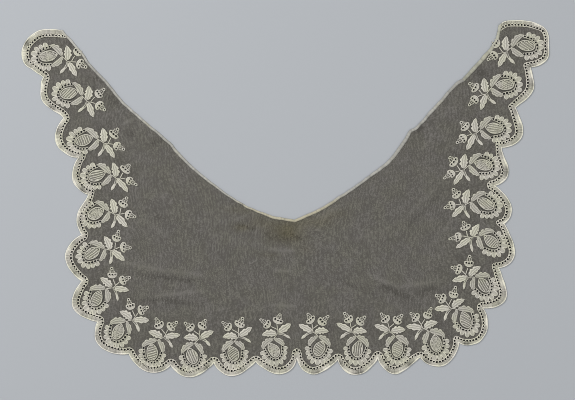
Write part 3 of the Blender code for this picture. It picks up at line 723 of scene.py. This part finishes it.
def lay_sprig(number, row, template, material, shift):
    """A copy of the upright sprig with its own filling, a little uneven, laid in its scallop."""
    work = Needlework()
    draw = random.Random(number)
    shaded_bed_and_rim(work)
    centre_filling(work, row, draw)
    tilt = Matrix.Rotation(math.radians(row.tilt), 3, "Z")
    bmesh.ops.rotate(work.bm, cent=CENTRE_MIDDLE.to_3d(), matrix=tilt, verts=work.bm.verts)
    work.bm.from_mesh(template)
    for berry_row in BERRIES:
        berry_holes(work, berry_row, draw)
    for berry_row in BERRIES[:row.pistils]:
        pistil(work, berry_row)
    for spot in ARC_EYELETS:
        work.eyelet(spot, draw.uniform(0.9, 1.15), 1.6, 1.2, tone=draw.uniform(0.85, 1.0), floor=0.5)
    seed = Vector((17.0 * number, 5.0, 0.0))
    turn = Matrix.Rotation(math.radians(row.turn), 2)
    mirror = -1 if number <= MIRRORED_SPRIGS else 1
    for vert in work.bm.verts:
        x, y, z = vert.co
        if y > TEMPLATE_REACH:
            x += row.sway * (y - TEMPLATE_REACH)
            y += row.reach - TEMPLATE_REACH
        elif y > 0:
            y *= row.reach / TEMPLATE_REACH
        sway = noise.noise_vector(Vector((x, y, 0)) * 0.09 + seed)
        uneven = noise.noise(Vector((x, y, 0)) * 0.75 + seed)
        place = turn @ Vector(((x + SPRIG_WANDER * sway.x) * mirror, y + SPRIG_WANDER * sway.y))
        vert.co = (row.x + place.x, row.y + place.y, z)
        vert[work.tone] *= 1 + UNEVEN_TONE * uneven
    return work.piece(f"sprig_{number:02d}_work", material, shift)


# Edging

# Height of the edging's satin over its width: distance from the outer edge as a share of the band, or
# in millimetres where the purl lies, height above the surface, and tone: painted highlight on the purl's
# crest, painted shade at the feet and in the groove between purl and band
PURL = [(0.0, EDGE_BOTTOM, 0.85), (0.0, 0.85, 1.3), (0.2, 1.28, 1.6), (0.5, 1.42, 1.5), (0.85, 1.3, 0.8),
        (1.05, 1.05, 0.25)]
BAND = [(0.0, 1.05, 0.27), (0.2, 1.3, 0.53), (0.5, 1.42, 0.63), (0.82, 1.24, 0.6), (1.0, 0.7, 0.42),
        (1.0, EDGE_BOTTOM, 0.2)]
PURL_END = 1.35
BAND_STOP = 0.95
PURL_WANDER = 0.5
# Tones below this are the painted shade in the groove between purl and band
GROOVE_TONE = 0.35
# The cord inside the eyelets: distance in from the row of eyelets, height and tone, painted darker at its
# feet
INNER_RIM = [(0.95, CLOTH_TOP - 0.1, 0.6), (0.95, 1.0, 0.7), (1.15, 1.2, 0.8), (1.45, 1.15, 0.85),
             (1.6, 0.9, 0.8), (1.6, CLOTH_TOP - 0.1, 0.6)]
EYELET_SIZES = (0.85, 0.92, 1.0, 1.0, 1.04, 1.06)


def edging(ribs, material, shift):
    """Satin band with its purl and the row of eyelets, worked along the whole outer edge."""
    work = Needlework()
    draw = random.Random(4)
    run = Run(ribs, lambda rib: rib[0] * 0.5 + (rib[0] + rib[1] * rib[2]) * 0.5)
    count = 2 * round(run.length / THREAD_PITCH / 2)
    stations = [run.at(run.length * i / count) for i in range(count + 1)]
    knots = [0.5 + 0.8 * value for value in drift(count, 0.45, 3.0, 0.0)]
    uneven_tone_and_groove_shade = [0.45 + 1.1 * value for value in drift(count, 0.05, 8.0, 0.0)]
    wander = drift(count, 0.06, 5.0, 2.0)

    def place(i, j):
        point, way, row = stations[i]
        thread = i % 2
        inset, z, tone = (PURL + BAND)[j]
        if j >= len(PURL):
            inset = PURL_END + inset * (row - BAND_STOP - PURL_END)
        elif inset:
            inset += 0.08 * thread + PURL_WANDER * wander[i]
        else:
            inset += PURL_WANDER * wander[i] - 0.12 * math.sin(i * 1.9) * knots[i]
        if z > EDGE_BOTTOM:
            z += 0.07 * thread + 0.08 * (knots[i] - 0.5)
        spot = point + way * inset
        # The groove's painted shade is lifted unevenly along the edge, and the purl is painted lighter
        # where its knots stand higher
        if tone < GROOVE_TONE:
            tone += 0.1 + 0.7 * uneven_tone_and_groove_shade[i]
        tone *= 0.3 + 0.62 * knots[i] + 0.56 * uneven_tone_and_groove_shade[i]
        return Vector((spot.x, spot.y, z)), tone, run.length * i / count

    work.skin(count, len(PURL + BAND), place)

    def rim_place(i, j):
        point, way, row = stations[2 * i]
        inset, z, tone = INNER_RIM[j]
        spot = point + way * (row + inset)
        return Vector((spot.x, spot.y, z)), tone * (0.85 + 0.3 * knots[2 * i]), run.length * 2 * i / count

    work.skin(count // 2, len(INNER_RIM), rim_place)

    row_run = Run([[rib[0] + rib[1] * rib[2], rib[1], rib[2]] for rib in ribs], lambda rib: rib[0])
    stops = [0.0] + [row_run.lengths[i] for i, rib in enumerate(ribs) if rib[3]] + [row_run.length]
    for number, (start, end) in enumerate(zip(stops, stops[1:])):
        at_end = number == len(stops) - 2
        first = start + (CLEAR_OF_TIP if number == 0 else 0.0)
        last = end - (CLEAR_OF_TIP if at_end else 0.0)
        many = round((last - first) / EYELET_PITCH)
        for k in range(many + at_end):
            length = first + (last - first) * k / many
            spot, way, _ = row_run.at(length)
            work.eyelet(spot + way * draw.uniform(-0.12, 0.12), EYELET_RADIUS * draw.choice(EYELET_SIZES),
                        RING_RADIUS, RING_TOP - CLOTH_TOP - draw.uniform(0.0, 0.25), CLOTH_TOP,
                        draw.uniform(0.84, 1.0))
    return work.piece("edging_work", material, shift)


# Neck binding

# The folded strip's section: share of its width, height and tone, with painted shade at its feet and in the
# dip along its stitched edge
FOLDED = [(0.0, 0.1, 0.4), (0.0, 0.9, 0.6), (0.12, 1.3, 0.7), (0.35, 1.45, 0.88), (0.62, 1.38, 0.98),
          (0.85, 1.2, 0.92), (0.93, 1.05, 0.5), (1.06, 0.95, 0.75), (1.1, 0.6, 0.6), (1.1, 0.1, 0.5)]
# How pale each strip is at even steps along it, from left to right
STRIP_TONES = {
    "left": [1.5, 1.3, 0.8, 0.96, 1.1, 1.02, 0.96, 1.0, 1.18, 0.98, 1.12, 1.22, 1.1],
    "right": [1.2, 1.14, 1.05, 1.02, 1.08, 1.02, 0.86, 1.05, 1.16, 0.86, 1.0],
    "front": [1.0, 1.02, 1.08, 1.38, 1.45],
}
BINDING_STEP = 0.9
BINDING_WANDER = 0.7


def binding(name, ribs, tones, material, shift, seed):
    """A narrow strip folded over the neck edge and sewn down, a little puckered."""
    work = Needlework()
    run = Run(ribs, lambda rib: rib[0])
    count = round(run.length / BINDING_STEP)
    stations = [run.at(run.length * i / count) for i in range(count + 1)]
    sway = drift(count, 0.16, seed, 0.0)
    pucker = drift(count, 0.55, seed, 9.0)
    wander = [min(1.0, i / 8, (count - i) / 8) * value
              for i, value in enumerate(drift(count, 0.1, seed, 4.0))]

    def place(i, j):
        point, way, width = stations[i]
        share, z, tone = FOLDED[j]
        wide = width * (1 + 0.1 * sway[i])
        if z > EDGE_BOTTOM:
            z += 0.12 * pucker[i] * (0.4 + share)
        spot = point + way * (share * wide + BINDING_WANDER * wander[i])
        # Where the strip puckers up it is painted lighter, a painted highlight; it is also paler where it
        # runs wider
        tone *= value_along(tones, i / count) * (0.85 + 0.45 * pucker[i] + 0.4 * sway[i])
        return Vector((spot.x, spot.y, z)), tone, run.length * i / count

    work.skin(count, len(FOLDED), place)
    return work.piece(name, material, shift)


# Muslin

CLOTH_PANE = 3.0
# Where the panes are cut beside a crease, in its half widths
CREASE_CUTS = (-1.3, -0.65, 0.0, 0.65, 1.3)
CREASE_LIFT = 0.25
CLOTH_WAVES = 0.12
LEAST_STEP = 0.8
# Painted shade on the cloth round the sprigs: its depth and reach
NEAR_WORK_SHADE = 0.5
NEAR_WORK_REACH = 13.0

# Soft creases in the laid cloth, their lit and shaded sides painted into its colour as well as raised: the
# two ends of each, its half width and its tone, painted light above zero and painted shade below
Crease = namedtuple("Crease", "x0 y0 x1 y1 half_width tone")
CREASES = [Crease(*row) for row in (
    (-168, -63, -122, -72, 2.2, 0.9), (-130, -71, -77, -77, 2.2, 0.8), (-148, -76, -84, -84, 2.4, -0.8),
    (-133, -98, -76, -92, 2.2, 1), (-150, -101, -78, -106, 3.2, -0.6), (-15, -38, 20, -41, 3.4, -0.5),
    (-22.4, -33.3, -11.4, -42.3, 1.2, -1), (6.5, -37, 15.5, -41, 1.3, -1), (-24.5, -31, -14, -22, 1.3, 0.6),
    (11, -33.5, 20, -27, 1.4, 0.7), (12, -35, 52, -8, 3, 0.55), (-35.4, -65.9, -28.7, -62.1, 0.7, 1.2),
    (-32, -35.5, -27.5, -31, 0.7, 0.8), (-17, -50.5, -2, -53, 1.6, 1.2), (-4, -53, 12, -52, 1.6, 1.2),
    (-14, -72.5, 10, -73.5, 1.6, 1.1), (-14, -106.5, 12, -108.5, 1.7, 1.2),
    (-36, -113, -12, -107, 1.7, 0.4), (85, -78, 116, -89, 2, 0.9), (114, -89, 152, -83, 2, 0.8),
    (92, -86, 128, -102, 2.8, -0.9), (129, -97, 156, -88, 2.8, -0.8), (48, -80, 99, -101, 2, -0.45),
    (54, -86, 90, -103, 1.6, 0.35), (-164, 72, -149, 81, 1.8, 1.1), (-160, 60, -148, 68, 2.4, -0.6),
    (-137, 52, -119, 60, 2.4, -0.7), (-108, 24, -126, -3, 2.2, 0.4), (-139, -24, -112, -42, 2.2, 0.45),
    (-136, -14, -114, -24, 2.6, -0.4), (-55, -22, -36, -17, 1.8, 0.6), (-50, -25, -28, -32, 1.8, -0.6),
    (155, 15, 113, -27, 1.8, 0.5), (159, 9, 119, -31, 2, -0.45), (168, -22, 138, -56, 2.4, 0.4),
    (51, -9, 33, -27, 2, 0.5), (130, 64, 139, 72, 2.2, -1.2), (9, -26, 11, -118, 1.6, 0.25),
    (66, -42, 115, -25, 2.5, 0.35), (-177, 103, -166, 93, 3.2, -1), (-195, 123, -185, 118, 3, -0.7),
    (190, 129, 202, 123, 3.2, -0.8),
)]

# The old stains at the neck: middle, reach along x and y, and strength
Stain = namedtuple("Stain", "x y reach_x reach_y strength")
STAINS = [Stain(*row) for row in (
    (0.6, -36.3, 18, 9, 0.85), (1.6, -26, 22, 7, 0.6), (-44.4, -29.3, 9, 4, 0.6),
    (-27.4, -23.3, 12, 7, 0.35), (-45.4, -11.3, 14, 5, 0.35), (32.6, -23.3, 16, 6, 0.45),
    (49.6, -16.3, 14, 6, 0.4), (20.6, -51.3, 9, 5, 0.3), (-15.4, -57.3, 10, 3, 0.3),
)]


def stain_depth(spot):
    return sum(s.strength * math.exp(-((spot.x - s.x) / s.reach_x) ** 2 - ((spot.y - s.y) / s.reach_y) ** 2)
               for s in STAINS)


def nearness(line_row, spot):
    """How near a point is to a fold or crease: 1 along its middle, falling away to its sides and ends."""
    start, end = Vector((line_row.x0, line_row.y0)), Vector((line_row.x1, line_row.y1))
    line = end - start
    t = min(max((spot - start).dot(line) / line.length_squared, 0.0), 1.0)
    away = (spot - start - line * t).length / line_row.half_width
    if away > 3:
        return 0.0
    return math.sin(math.pi * min(max(t, 0.03), 0.97)) ** 0.6 * math.exp(-away * away)


def shade_near_work(spot):
    """How much darker the cloth is painted near the sprigs: a painted shade round the work."""
    near = 0.0
    for row in SPRIGS:
        turn = math.radians(row.turn)
        for along in (-2.0, 22.0):
            middle = Vector((row.x - along * math.sin(turn), row.y + along * math.cos(turn)))
            near = max(near, math.exp(-((spot - middle).length / NEAR_WORK_REACH) ** 2))
    return -NEAR_WORK_SHADE * near


def cut_along(bm, line_row):
    """Finer panes along a crease."""
    start, end = Vector((line_row.x0, line_row.y0)), Vector((line_row.x1, line_row.y1))
    side = side_of(end - start)
    reach = 1.6 * line_row.half_width + CLOTH_PANE
    length = (end - start).length
    faces = []
    for face in bm.faces:
        spot = flat(face.calc_center_median()) - start
        along = spot.dot(end - start) / length
        if abs(spot.dot(side)) < reach and -CLOTH_PANE < along < length + CLOTH_PANE:
            faces.append(face)
    geometry = faces + list({edge for face in faces for edge in face.edges})
    geometry += list({vert for face in faces for vert in face.verts})
    for share in CREASE_CUTS:
        place = start + side * (share * line_row.half_width)
        cut = bmesh.ops.bisect_plane(bm, geom=geometry, dist=0.01, plane_co=(place.x, place.y, 0.0),
                                     plane_no=(side.x, side.y, 0.0))
        geometry = cut["geom"]


def muslin(ribs, neck_side, material, shift):
    """The sheer ground, cut to the inside of the edging and binding and laid in its soft folds."""
    rim = [rib[0] + rib[1] * CLOTH_UNDER_EDGE for rib in ribs[::3] + [ribs[-1]]] + neck_side[::-1]
    outline = [rim[0]]
    for point in rim[1:]:
        if (point - outline[-1]).length > LEAST_STEP:
            outline.append(point)
    bm = bmesh.new()
    tone = bm.verts.layers.float.new("tone")
    stain = bm.verts.layers.float.new("stain")
    verts = [bm.verts.new((p.x, p.y, 0.0)) for p in outline]
    edges = [bm.edges.new(pair) for pair in zip(verts, verts[1:] + verts[:1])]
    bmesh.ops.triangle_fill(bm, use_beauty=True, use_dissolve=False, edges=edges, normal=(0, 0, 1))
    area = sum(face.calc_area() for face in bm.faces)
    for axis in (Vector((1, 0, 0)), Vector((0, 1, 0))):
        reach = max(abs(vert.co.dot(axis)) for vert in bm.verts)
        for k in range(-round(reach / CLOTH_PANE), round(reach / CLOTH_PANE) + 1):
            bmesh.ops.bisect_plane(bm, geom=bm.verts[:] + bm.edges[:] + bm.faces[:], dist=0.01,
                                   plane_co=axis * (k * CLOTH_PANE), plane_no=axis)
    for line_row in CREASES:
        cut_along(bm, line_row)
    for vert in bm.verts:
        spot = flat(vert.co)
        crease = sum(row.tone * nearness(row, spot) for row in CREASES)
        lift = sum(row.height * nearness(row, spot) for row in FOLDS) + CREASE_LIFT * crease
        # The cloth's painted light and shade: the lit and shaded sides of its creases, and painted shade
        # near the work
        vert[tone] = crease + shade_near_work(spot)
        vert[stain] = stain_depth(spot)
        vert.co.z = CLOTH_TOP + max(-CREASE_LIFT, lift + CLOTH_WAVES * noise.noise(vert.co * 0.03))
    for face in bm.faces:
        face.normal_update()
        if face.normal.z < 0:
            face.normal_flip()
    lower = bmesh.ops.duplicate(bm, geom=bm.faces[:])["geom"]
    lower_verts = [item for item in lower if isinstance(item, bmesh.types.BMVert)]
    lower_faces = [item for item in lower if isinstance(item, bmesh.types.BMFace)]
    bmesh.ops.translate(bm, vec=Vector((0, 0, CLOTH_BOTTOM - CLOTH_TOP)), verts=lower_verts)
    bmesh.ops.reverse_faces(bm, faces=lower_faces)
    bmesh.ops.bridge_loops(bm, edges=[edge for edge in bm.edges if edge.is_boundary])
    return laid_piece(bm, "muslin_cloth", material, shift), area * MM * MM


# Finishes


class Value:
    """A shader value, so that sums on it read as sums."""

    def __init__(self, finish, socket):
        self.finish, self.socket = finish, socket

    def _join(self, operation, first, second=0.0):
        return self.finish.node("ShaderNodeMath", {"operation": operation}, first, second)

    def __add__(self, other):
        return self._join("ADD", self, other)

    __radd__ = __add__

    def __sub__(self, other):
        return self._join("SUBTRACT", self, other)

    def __rsub__(self, other):
        return self._join("SUBTRACT", other, self)

    def __mul__(self, other):
        return self._join("MULTIPLY", self, other)

    __rmul__ = __mul__

    def sine(self):
        return self._join("SINE", self)

    def clamped(self):
        return self.finish.node("ShaderNodeClamp", {}, self)

    def between(self, low, high):
        """0 below low and 1 above high, eased between."""
        return self.finish.node("ShaderNodeMapRange", {"interpolation_type": "SMOOTHSTEP"}, self, low, high)


class Finish:
    """A material under way."""

    def __init__(self, name, colour, roughness):
        self.material = bpy.data.materials.new(name)
        self.material.use_nodes = True
        self.material.diffuse_color = (*colour, 1.0)
        self.tree = self.material.node_tree
        self.shader = self.tree.nodes["Principled BSDF"]
        self.shader.inputs["Base Color"].default_value = (*colour, 1.0)
        self.shader.inputs["Roughness"].default_value = roughness

    def node(self, kind, settings, *values, output=0, **named):
        """The output of a new node of any kind, its settings made first and its sockets fed after."""
        made = self.tree.nodes.new(kind)
        for key, value in settings.items():
            setattr(made, key, value)
        for key, value in [*enumerate(values), *named.items()]:
            if isinstance(value, Value):
                self.tree.links.new(value.socket, made.inputs[key])
            else:
                made.inputs[key].default_value = value
        return Value(self, made.outputs[output])

    def feed(self, name, value):
        self.tree.links.new(value.socket, self.shader.inputs[name])

    def attribute(self, name):
        return self.node("ShaderNodeAttribute", {"attribute_name": name}, output="Fac")

    def places(self, location=(0, 0, 0)):
        """Object coordinates, moved."""
        spot = self.node("ShaderNodeTexCoord", {}, output="Object")
        return self.node("ShaderNodeMapping", {}, spot, location)

    def noise(self, places, scale, detail=2.0, output="Fac"):
        return self.node("ShaderNodeTexNoise", {}, output=output, Vector=places, Scale=scale, Detail=detail)

    def mix(self, factor, first, second):
        """A colour between two."""
        made = self.tree.nodes.new("ShaderNodeMix")
        made.data_type = "RGBA"
        for key, value in ((0, factor), (6, first), (7, second)):
            if isinstance(value, Value):
                self.tree.links.new(value.socket, made.inputs[key])
            elif key:
                made.inputs[key].default_value = (*value, 1.0)
            else:
                made.inputs[key].default_value = value
        return Value(self, made.outputs[2])

    def bump(self, height, distance, strength):
        bump = self.node("ShaderNodeBump", {}, Height=height, Distance=distance, Strength=strength)
        self.feed("Normal", bump)


# The darkest painted shade of the threads, at tone 0, which also paints the eyelets' wells
THREAD_SHADE = (0.012, 0.012, 0.011)
CLEAN_HUE, YELLOWED_HUE = (1.01, 0.99, 1.01), (0.99, 0.99, 0.93)


def thread_finish(name, white):
    """Cotton thread: its tone from the work, painting light and shade onto the stitches, faint soiling, and
    the threads themselves.
    """
    finish = Finish(name, white, 0.62)
    tone = finish.attribute("tone")
    stitch = finish.attribute("stitch")
    soil = finish.noise(finish.places(), 55.0, 3.0)
    flecks = finish.noise(finish.places(), 900.0)
    # Painted light and shade from the tone, with faint soiling and flecks of the thread's own
    shade_and_soil = (tone * (0.86 + 0.28 * soil + 0.36 * (flecks - 0.5))).clamped()
    warm = finish.noise(finish.places((3, 7, 0)), 60.0).between(0.35, 0.65)
    clean, yellowed = (finish.mix(shade_and_soil, THREAD_SHADE, tuple(c * f for c, f in zip(white, hue)))
                       for hue in (CLEAN_HUE, YELLOWED_HUE))
    finish.feed("Base Color", finish.mix(warm, clean, yellowed))
    ridges = (stitch * (math.tau / STITCH_PITCH)).sine()
    finish.bump(ridges * 0.5 + flecks * 0.7, 0.00008, 0.6)
    for socket, value in (("Sheen Weight", 0.08), ("Sheen Roughness", 0.4), ("Specular IOR Level", 0.2)):
        finish.shader.inputs[socket].default_value = value
    return finish.material


# The back of the neck, where the strips are creamy: it ends between these two heights
CREAM_PART = (-14 * MM, 6 * MM)
CREAM = (0.50, 0.465, 0.35)
TAPE_SOIL = (0.30, 0.27, 0.15)


def binding_finish(name, shaded, white, soiling):
    """Plain woven strip, crossed by the weave, soiled in patches and creamy at the back of the neck."""
    finish = Finish(name, white, 0.85)
    tone = finish.attribute("tone")
    patches = finish.noise(finish.places(), 30.0, 3.0)
    weave = finish.noise(finish.places(), 1400.0, 1.0)
    # Painted light and shade from the tone, with the strip's own soiled patches and weave
    shade_and_soil = (tone * (0.6 + 0.8 * patches) + 0.25 * (weave - 0.5)).clamped()
    y = finish.node("ShaderNodeSeparateXYZ", {}, finish.places(), output="Y")
    front = y.between(*CREAM_PART)
    clean = finish.mix(shade_and_soil, shaded, finish.mix(front, CREAM, white))
    stained = finish.mix(patches.between(0.5, 0.75) * soiling, clean, TAPE_SOIL)
    finish.feed("Base Color", stained)
    finish.bump(weave, 0.0001, 0.5)
    return finish.material


CLOTH_GREY = (0.085, 0.079, 0.068)
CLOTH_PALE = (0.189, 0.178, 0.163)
CLOTH_BROWN = (0.188, 0.180, 0.151)
STAINED_GREY = (0.080, 0.070, 0.042)
STAINED_PALE = (0.165, 0.150, 0.100)
DARKEST_GRAIN = 0.24
CLOTH_ALPHA, ALPHA_SWING = 0.8, 0.1
STRIPE_PITCH = 3.45 * MM
THREAD_WANDER = (0.05, 0.05, 0)


def muslin_finish():
    """Sheer muslin: broken streaks down the cloth, a mottle, painted light and shade along its creases and
    near the work, and old stains at the neck.
    """
    finish = Finish("muslin", CLOTH_GREY, 0.9)
    wander = finish.noise(finish.places(), 9.0, 1.0, output="Color")
    threads = finish.node("ShaderNodeVectorMath", {"operation": "MULTIPLY_ADD"}, wander, THREAD_WANDER,
                          finish.places())
    along = finish.node("ShaderNodeMapping", {}, threads, (0, 0, 0), (0, 0, 0), (1, 0.4, 1))
    warp = finish.noise(along, 750.0, 1.0)
    broken = finish.noise(along, 260.0, 1.0).between(0.35, 0.7)
    x = finish.node("ShaderNodeSeparateXYZ", {}, threads, output="X")
    stripes = (x * (math.tau / STRIPE_PITCH)).sine() * broken
    weft = finish.noise(threads, 1000.0, 1.0)
    clouds = finish.noise(finish.places(), 60.0, 3.0)
    # Painted light and shade of the creases, and painted shade near the work
    crease = finish.attribute("tone")
    stain = (finish.attribute("stain") * (0.5 + clouds)).clamped()
    grain = 1.4 * (warp - 0.5) + 0.22 * stripes + 1.95 * (weft - 0.5) + 0.6 * (clouds - 0.5)
    grain = (grain + DARKEST_GRAIN).clamped() - DARKEST_GRAIN
    pale = (0.455 + grain * (1 + 0.2 * stain) + 0.5 * crease).clamped()
    hue = finish.noise(finish.places((1, 4, 0)), 45.0).between(0.35, 0.65)
    cloth = finish.mix(pale, CLOTH_GREY, finish.mix(hue, CLOTH_PALE, CLOTH_BROWN))
    finish.feed("Base Color", finish.mix(stain, cloth, finish.mix(pale, STAINED_GREY, STAINED_PALE)))
    finish.feed("Alpha", CLOTH_ALPHA + ALPHA_SWING * (warp - 0.5))
    finish.bump(warp * 0.6 + weft * 0.4, 0.00015, 0.5)
    return finish.material


# The collar

fine_ribs = edge_ribs()
left_way = (fine_ribs[4][0] - fine_ribs[0][0]).normalized()
right_way = (fine_ribs[-5][0] - fine_ribs[-1][0]).normalized()
notch_way, step_way = Vector(NOTCH_CUT).normalized(), Vector(STEP_CUT).normalized()
necks = {
    "left": neck_ribs(LEFT_NECK, left_way, notch_way),
    "right": neck_ribs(RIGHT_NECK, notch_way, step_way),
    "front": neck_ribs(FRONT_NECK, step_way, right_way),
}
left_corner, front_corner = flat(LEFT_NECK[0]), flat(FRONT_NECK[-1])
edge = trimmed_at_points(
    fine_ribs,
    (left_corner, (flat(LEFT_NECK[1]) - left_corner).normalized(), LEFT_NECK[0][2]),
    (front_corner, (flat(FRONT_NECK[-2]) - front_corner).normalized(), FRONT_NECK[-1][2]),
)

low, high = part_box("muslin_ground")
xs = [rib[0].x for rib in edge]
ys = [rib[0].y for rib in edge]
shift = Vector(((low.x + high.x) / MM - min(xs) - max(xs), (low.y + high.y) / MM - min(ys) - max(ys))) / 2

edge_thread = thread_finish("edge_thread", (0.82, 0.80, 0.69))
sprig_thread = thread_finish("sprig_thread", (0.67, 0.655, 0.565))
white_tape = binding_finish("white_tape", (0.13, 0.127, 0.115), (0.46, 0.45, 0.41), 0.35)
old_tape = binding_finish("old_tape", (0.13, 0.13, 0.10), (0.46, 0.455, 0.37), 0.45)


def dressed(piece, slot, node):
    """A finished piece, shown on the collar in place of its solid."""
    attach(piece, "root")
    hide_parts(node)
    return piece


pieces = [dressed(edging(edge, edge_thread, shift), "edge_thread", "scalloped_edging")]
for name, material, slot, seed in (("left", white_tape, "binding", 1.0),
                                   ("right", white_tape, "binding", 21.0),
                                   ("front", old_tape, "old_binding", 41.0)):
    strip = binding(f"binding_{name}_strip", necks[name], STRIP_TONES[name], material, shift, seed)
    pieces.append(dressed(strip, slot, f"neck_binding_{name}"))

template = bpy.data.meshes.new("upright_sprig")
upright = upright_sprig()
upright.bm.to_mesh(template)
upright.bm.free()
for number, row in enumerate(SPRIGS, 1):
    sprig = lay_sprig(number, row, template, sprig_thread, shift)
    pieces.append(dressed(sprig, "sprig_thread", f"sprig_{number:02d}"))
bpy.data.meshes.remove(template)

neck_side = [point + way * (CLOTH_UNDER_STRIP * width)
             for ribs in necks.values() for point, way, width in ribs]
cloth, cloth_area = muslin(edge, neck_side, muslin_finish(), shift)
dressed(cloth, "muslin", "muslin_ground")


# The stage

TABLE_SIZE = 8.0
TABLE_COLOUR = (0.42, 0.44, 0.465)
ROOM_LIGHT = 0.55
FILTER_WIDTH = 0.9

bpy.ops.mesh.primitive_plane_add(size=TABLE_SIZE, location=(0, 0, 0))
floor = bpy.context.object
floor.name = "pale_table"
floor.data.materials.append(Finish("pale_table", TABLE_COLOUR, 0.9).material)

scene = bpy.context.scene
scene.cycles.filter_width = FILTER_WIDTH
scene.view_settings.view_transform = "Standard"
world = bpy.data.worlds.new("soft_room")
world.use_nodes = True
sky = world.node_tree.nodes["Background"]
sky.inputs["Color"].default_value = (1.0, 1.0, 1.0, 1.0)
sky.inputs["Strength"].default_value = ROOM_LIGHT
scene.world = world


def soft_light(name, place, size, power):
    light = bpy.data.lights.new(name, "AREA")
    light.shape = "DISK"
    light.size = size
    light.energy = power
    lamp = bpy.data.objects.new(name, light)
    lamp.location = place
    lamp.rotation_euler = (-Vector(place)).to_track_quat("-Z", "Y").to_euler()
    scene.collection.objects.link(lamp)


soft_light("window", (-1.3, 1.1, 1.5), 0.9, 30.0)
soft_light("fill", (1.6, -0.8, 1.6), 1.2, 10.0)

# The photo looks straight down, and a pixel of it is a millimetre
PHOTO_WIDTH = 0.575
PHOTO_MIDDLE = (2.1 * MM, -1.3 * MM)
LENS, SENSOR = 90.0, 36.0
camera = bpy.data.cameras.new("straight_down")
camera.lens, camera.sensor_width = LENS, SENSOR
stand = bpy.data.objects.new("straight_down", camera)
stand.location = (*PHOTO_MIDDLE, PHOTO_WIDTH * LENS / SENSOR)
scene.collection.objects.link(stand)
scene.camera = stand
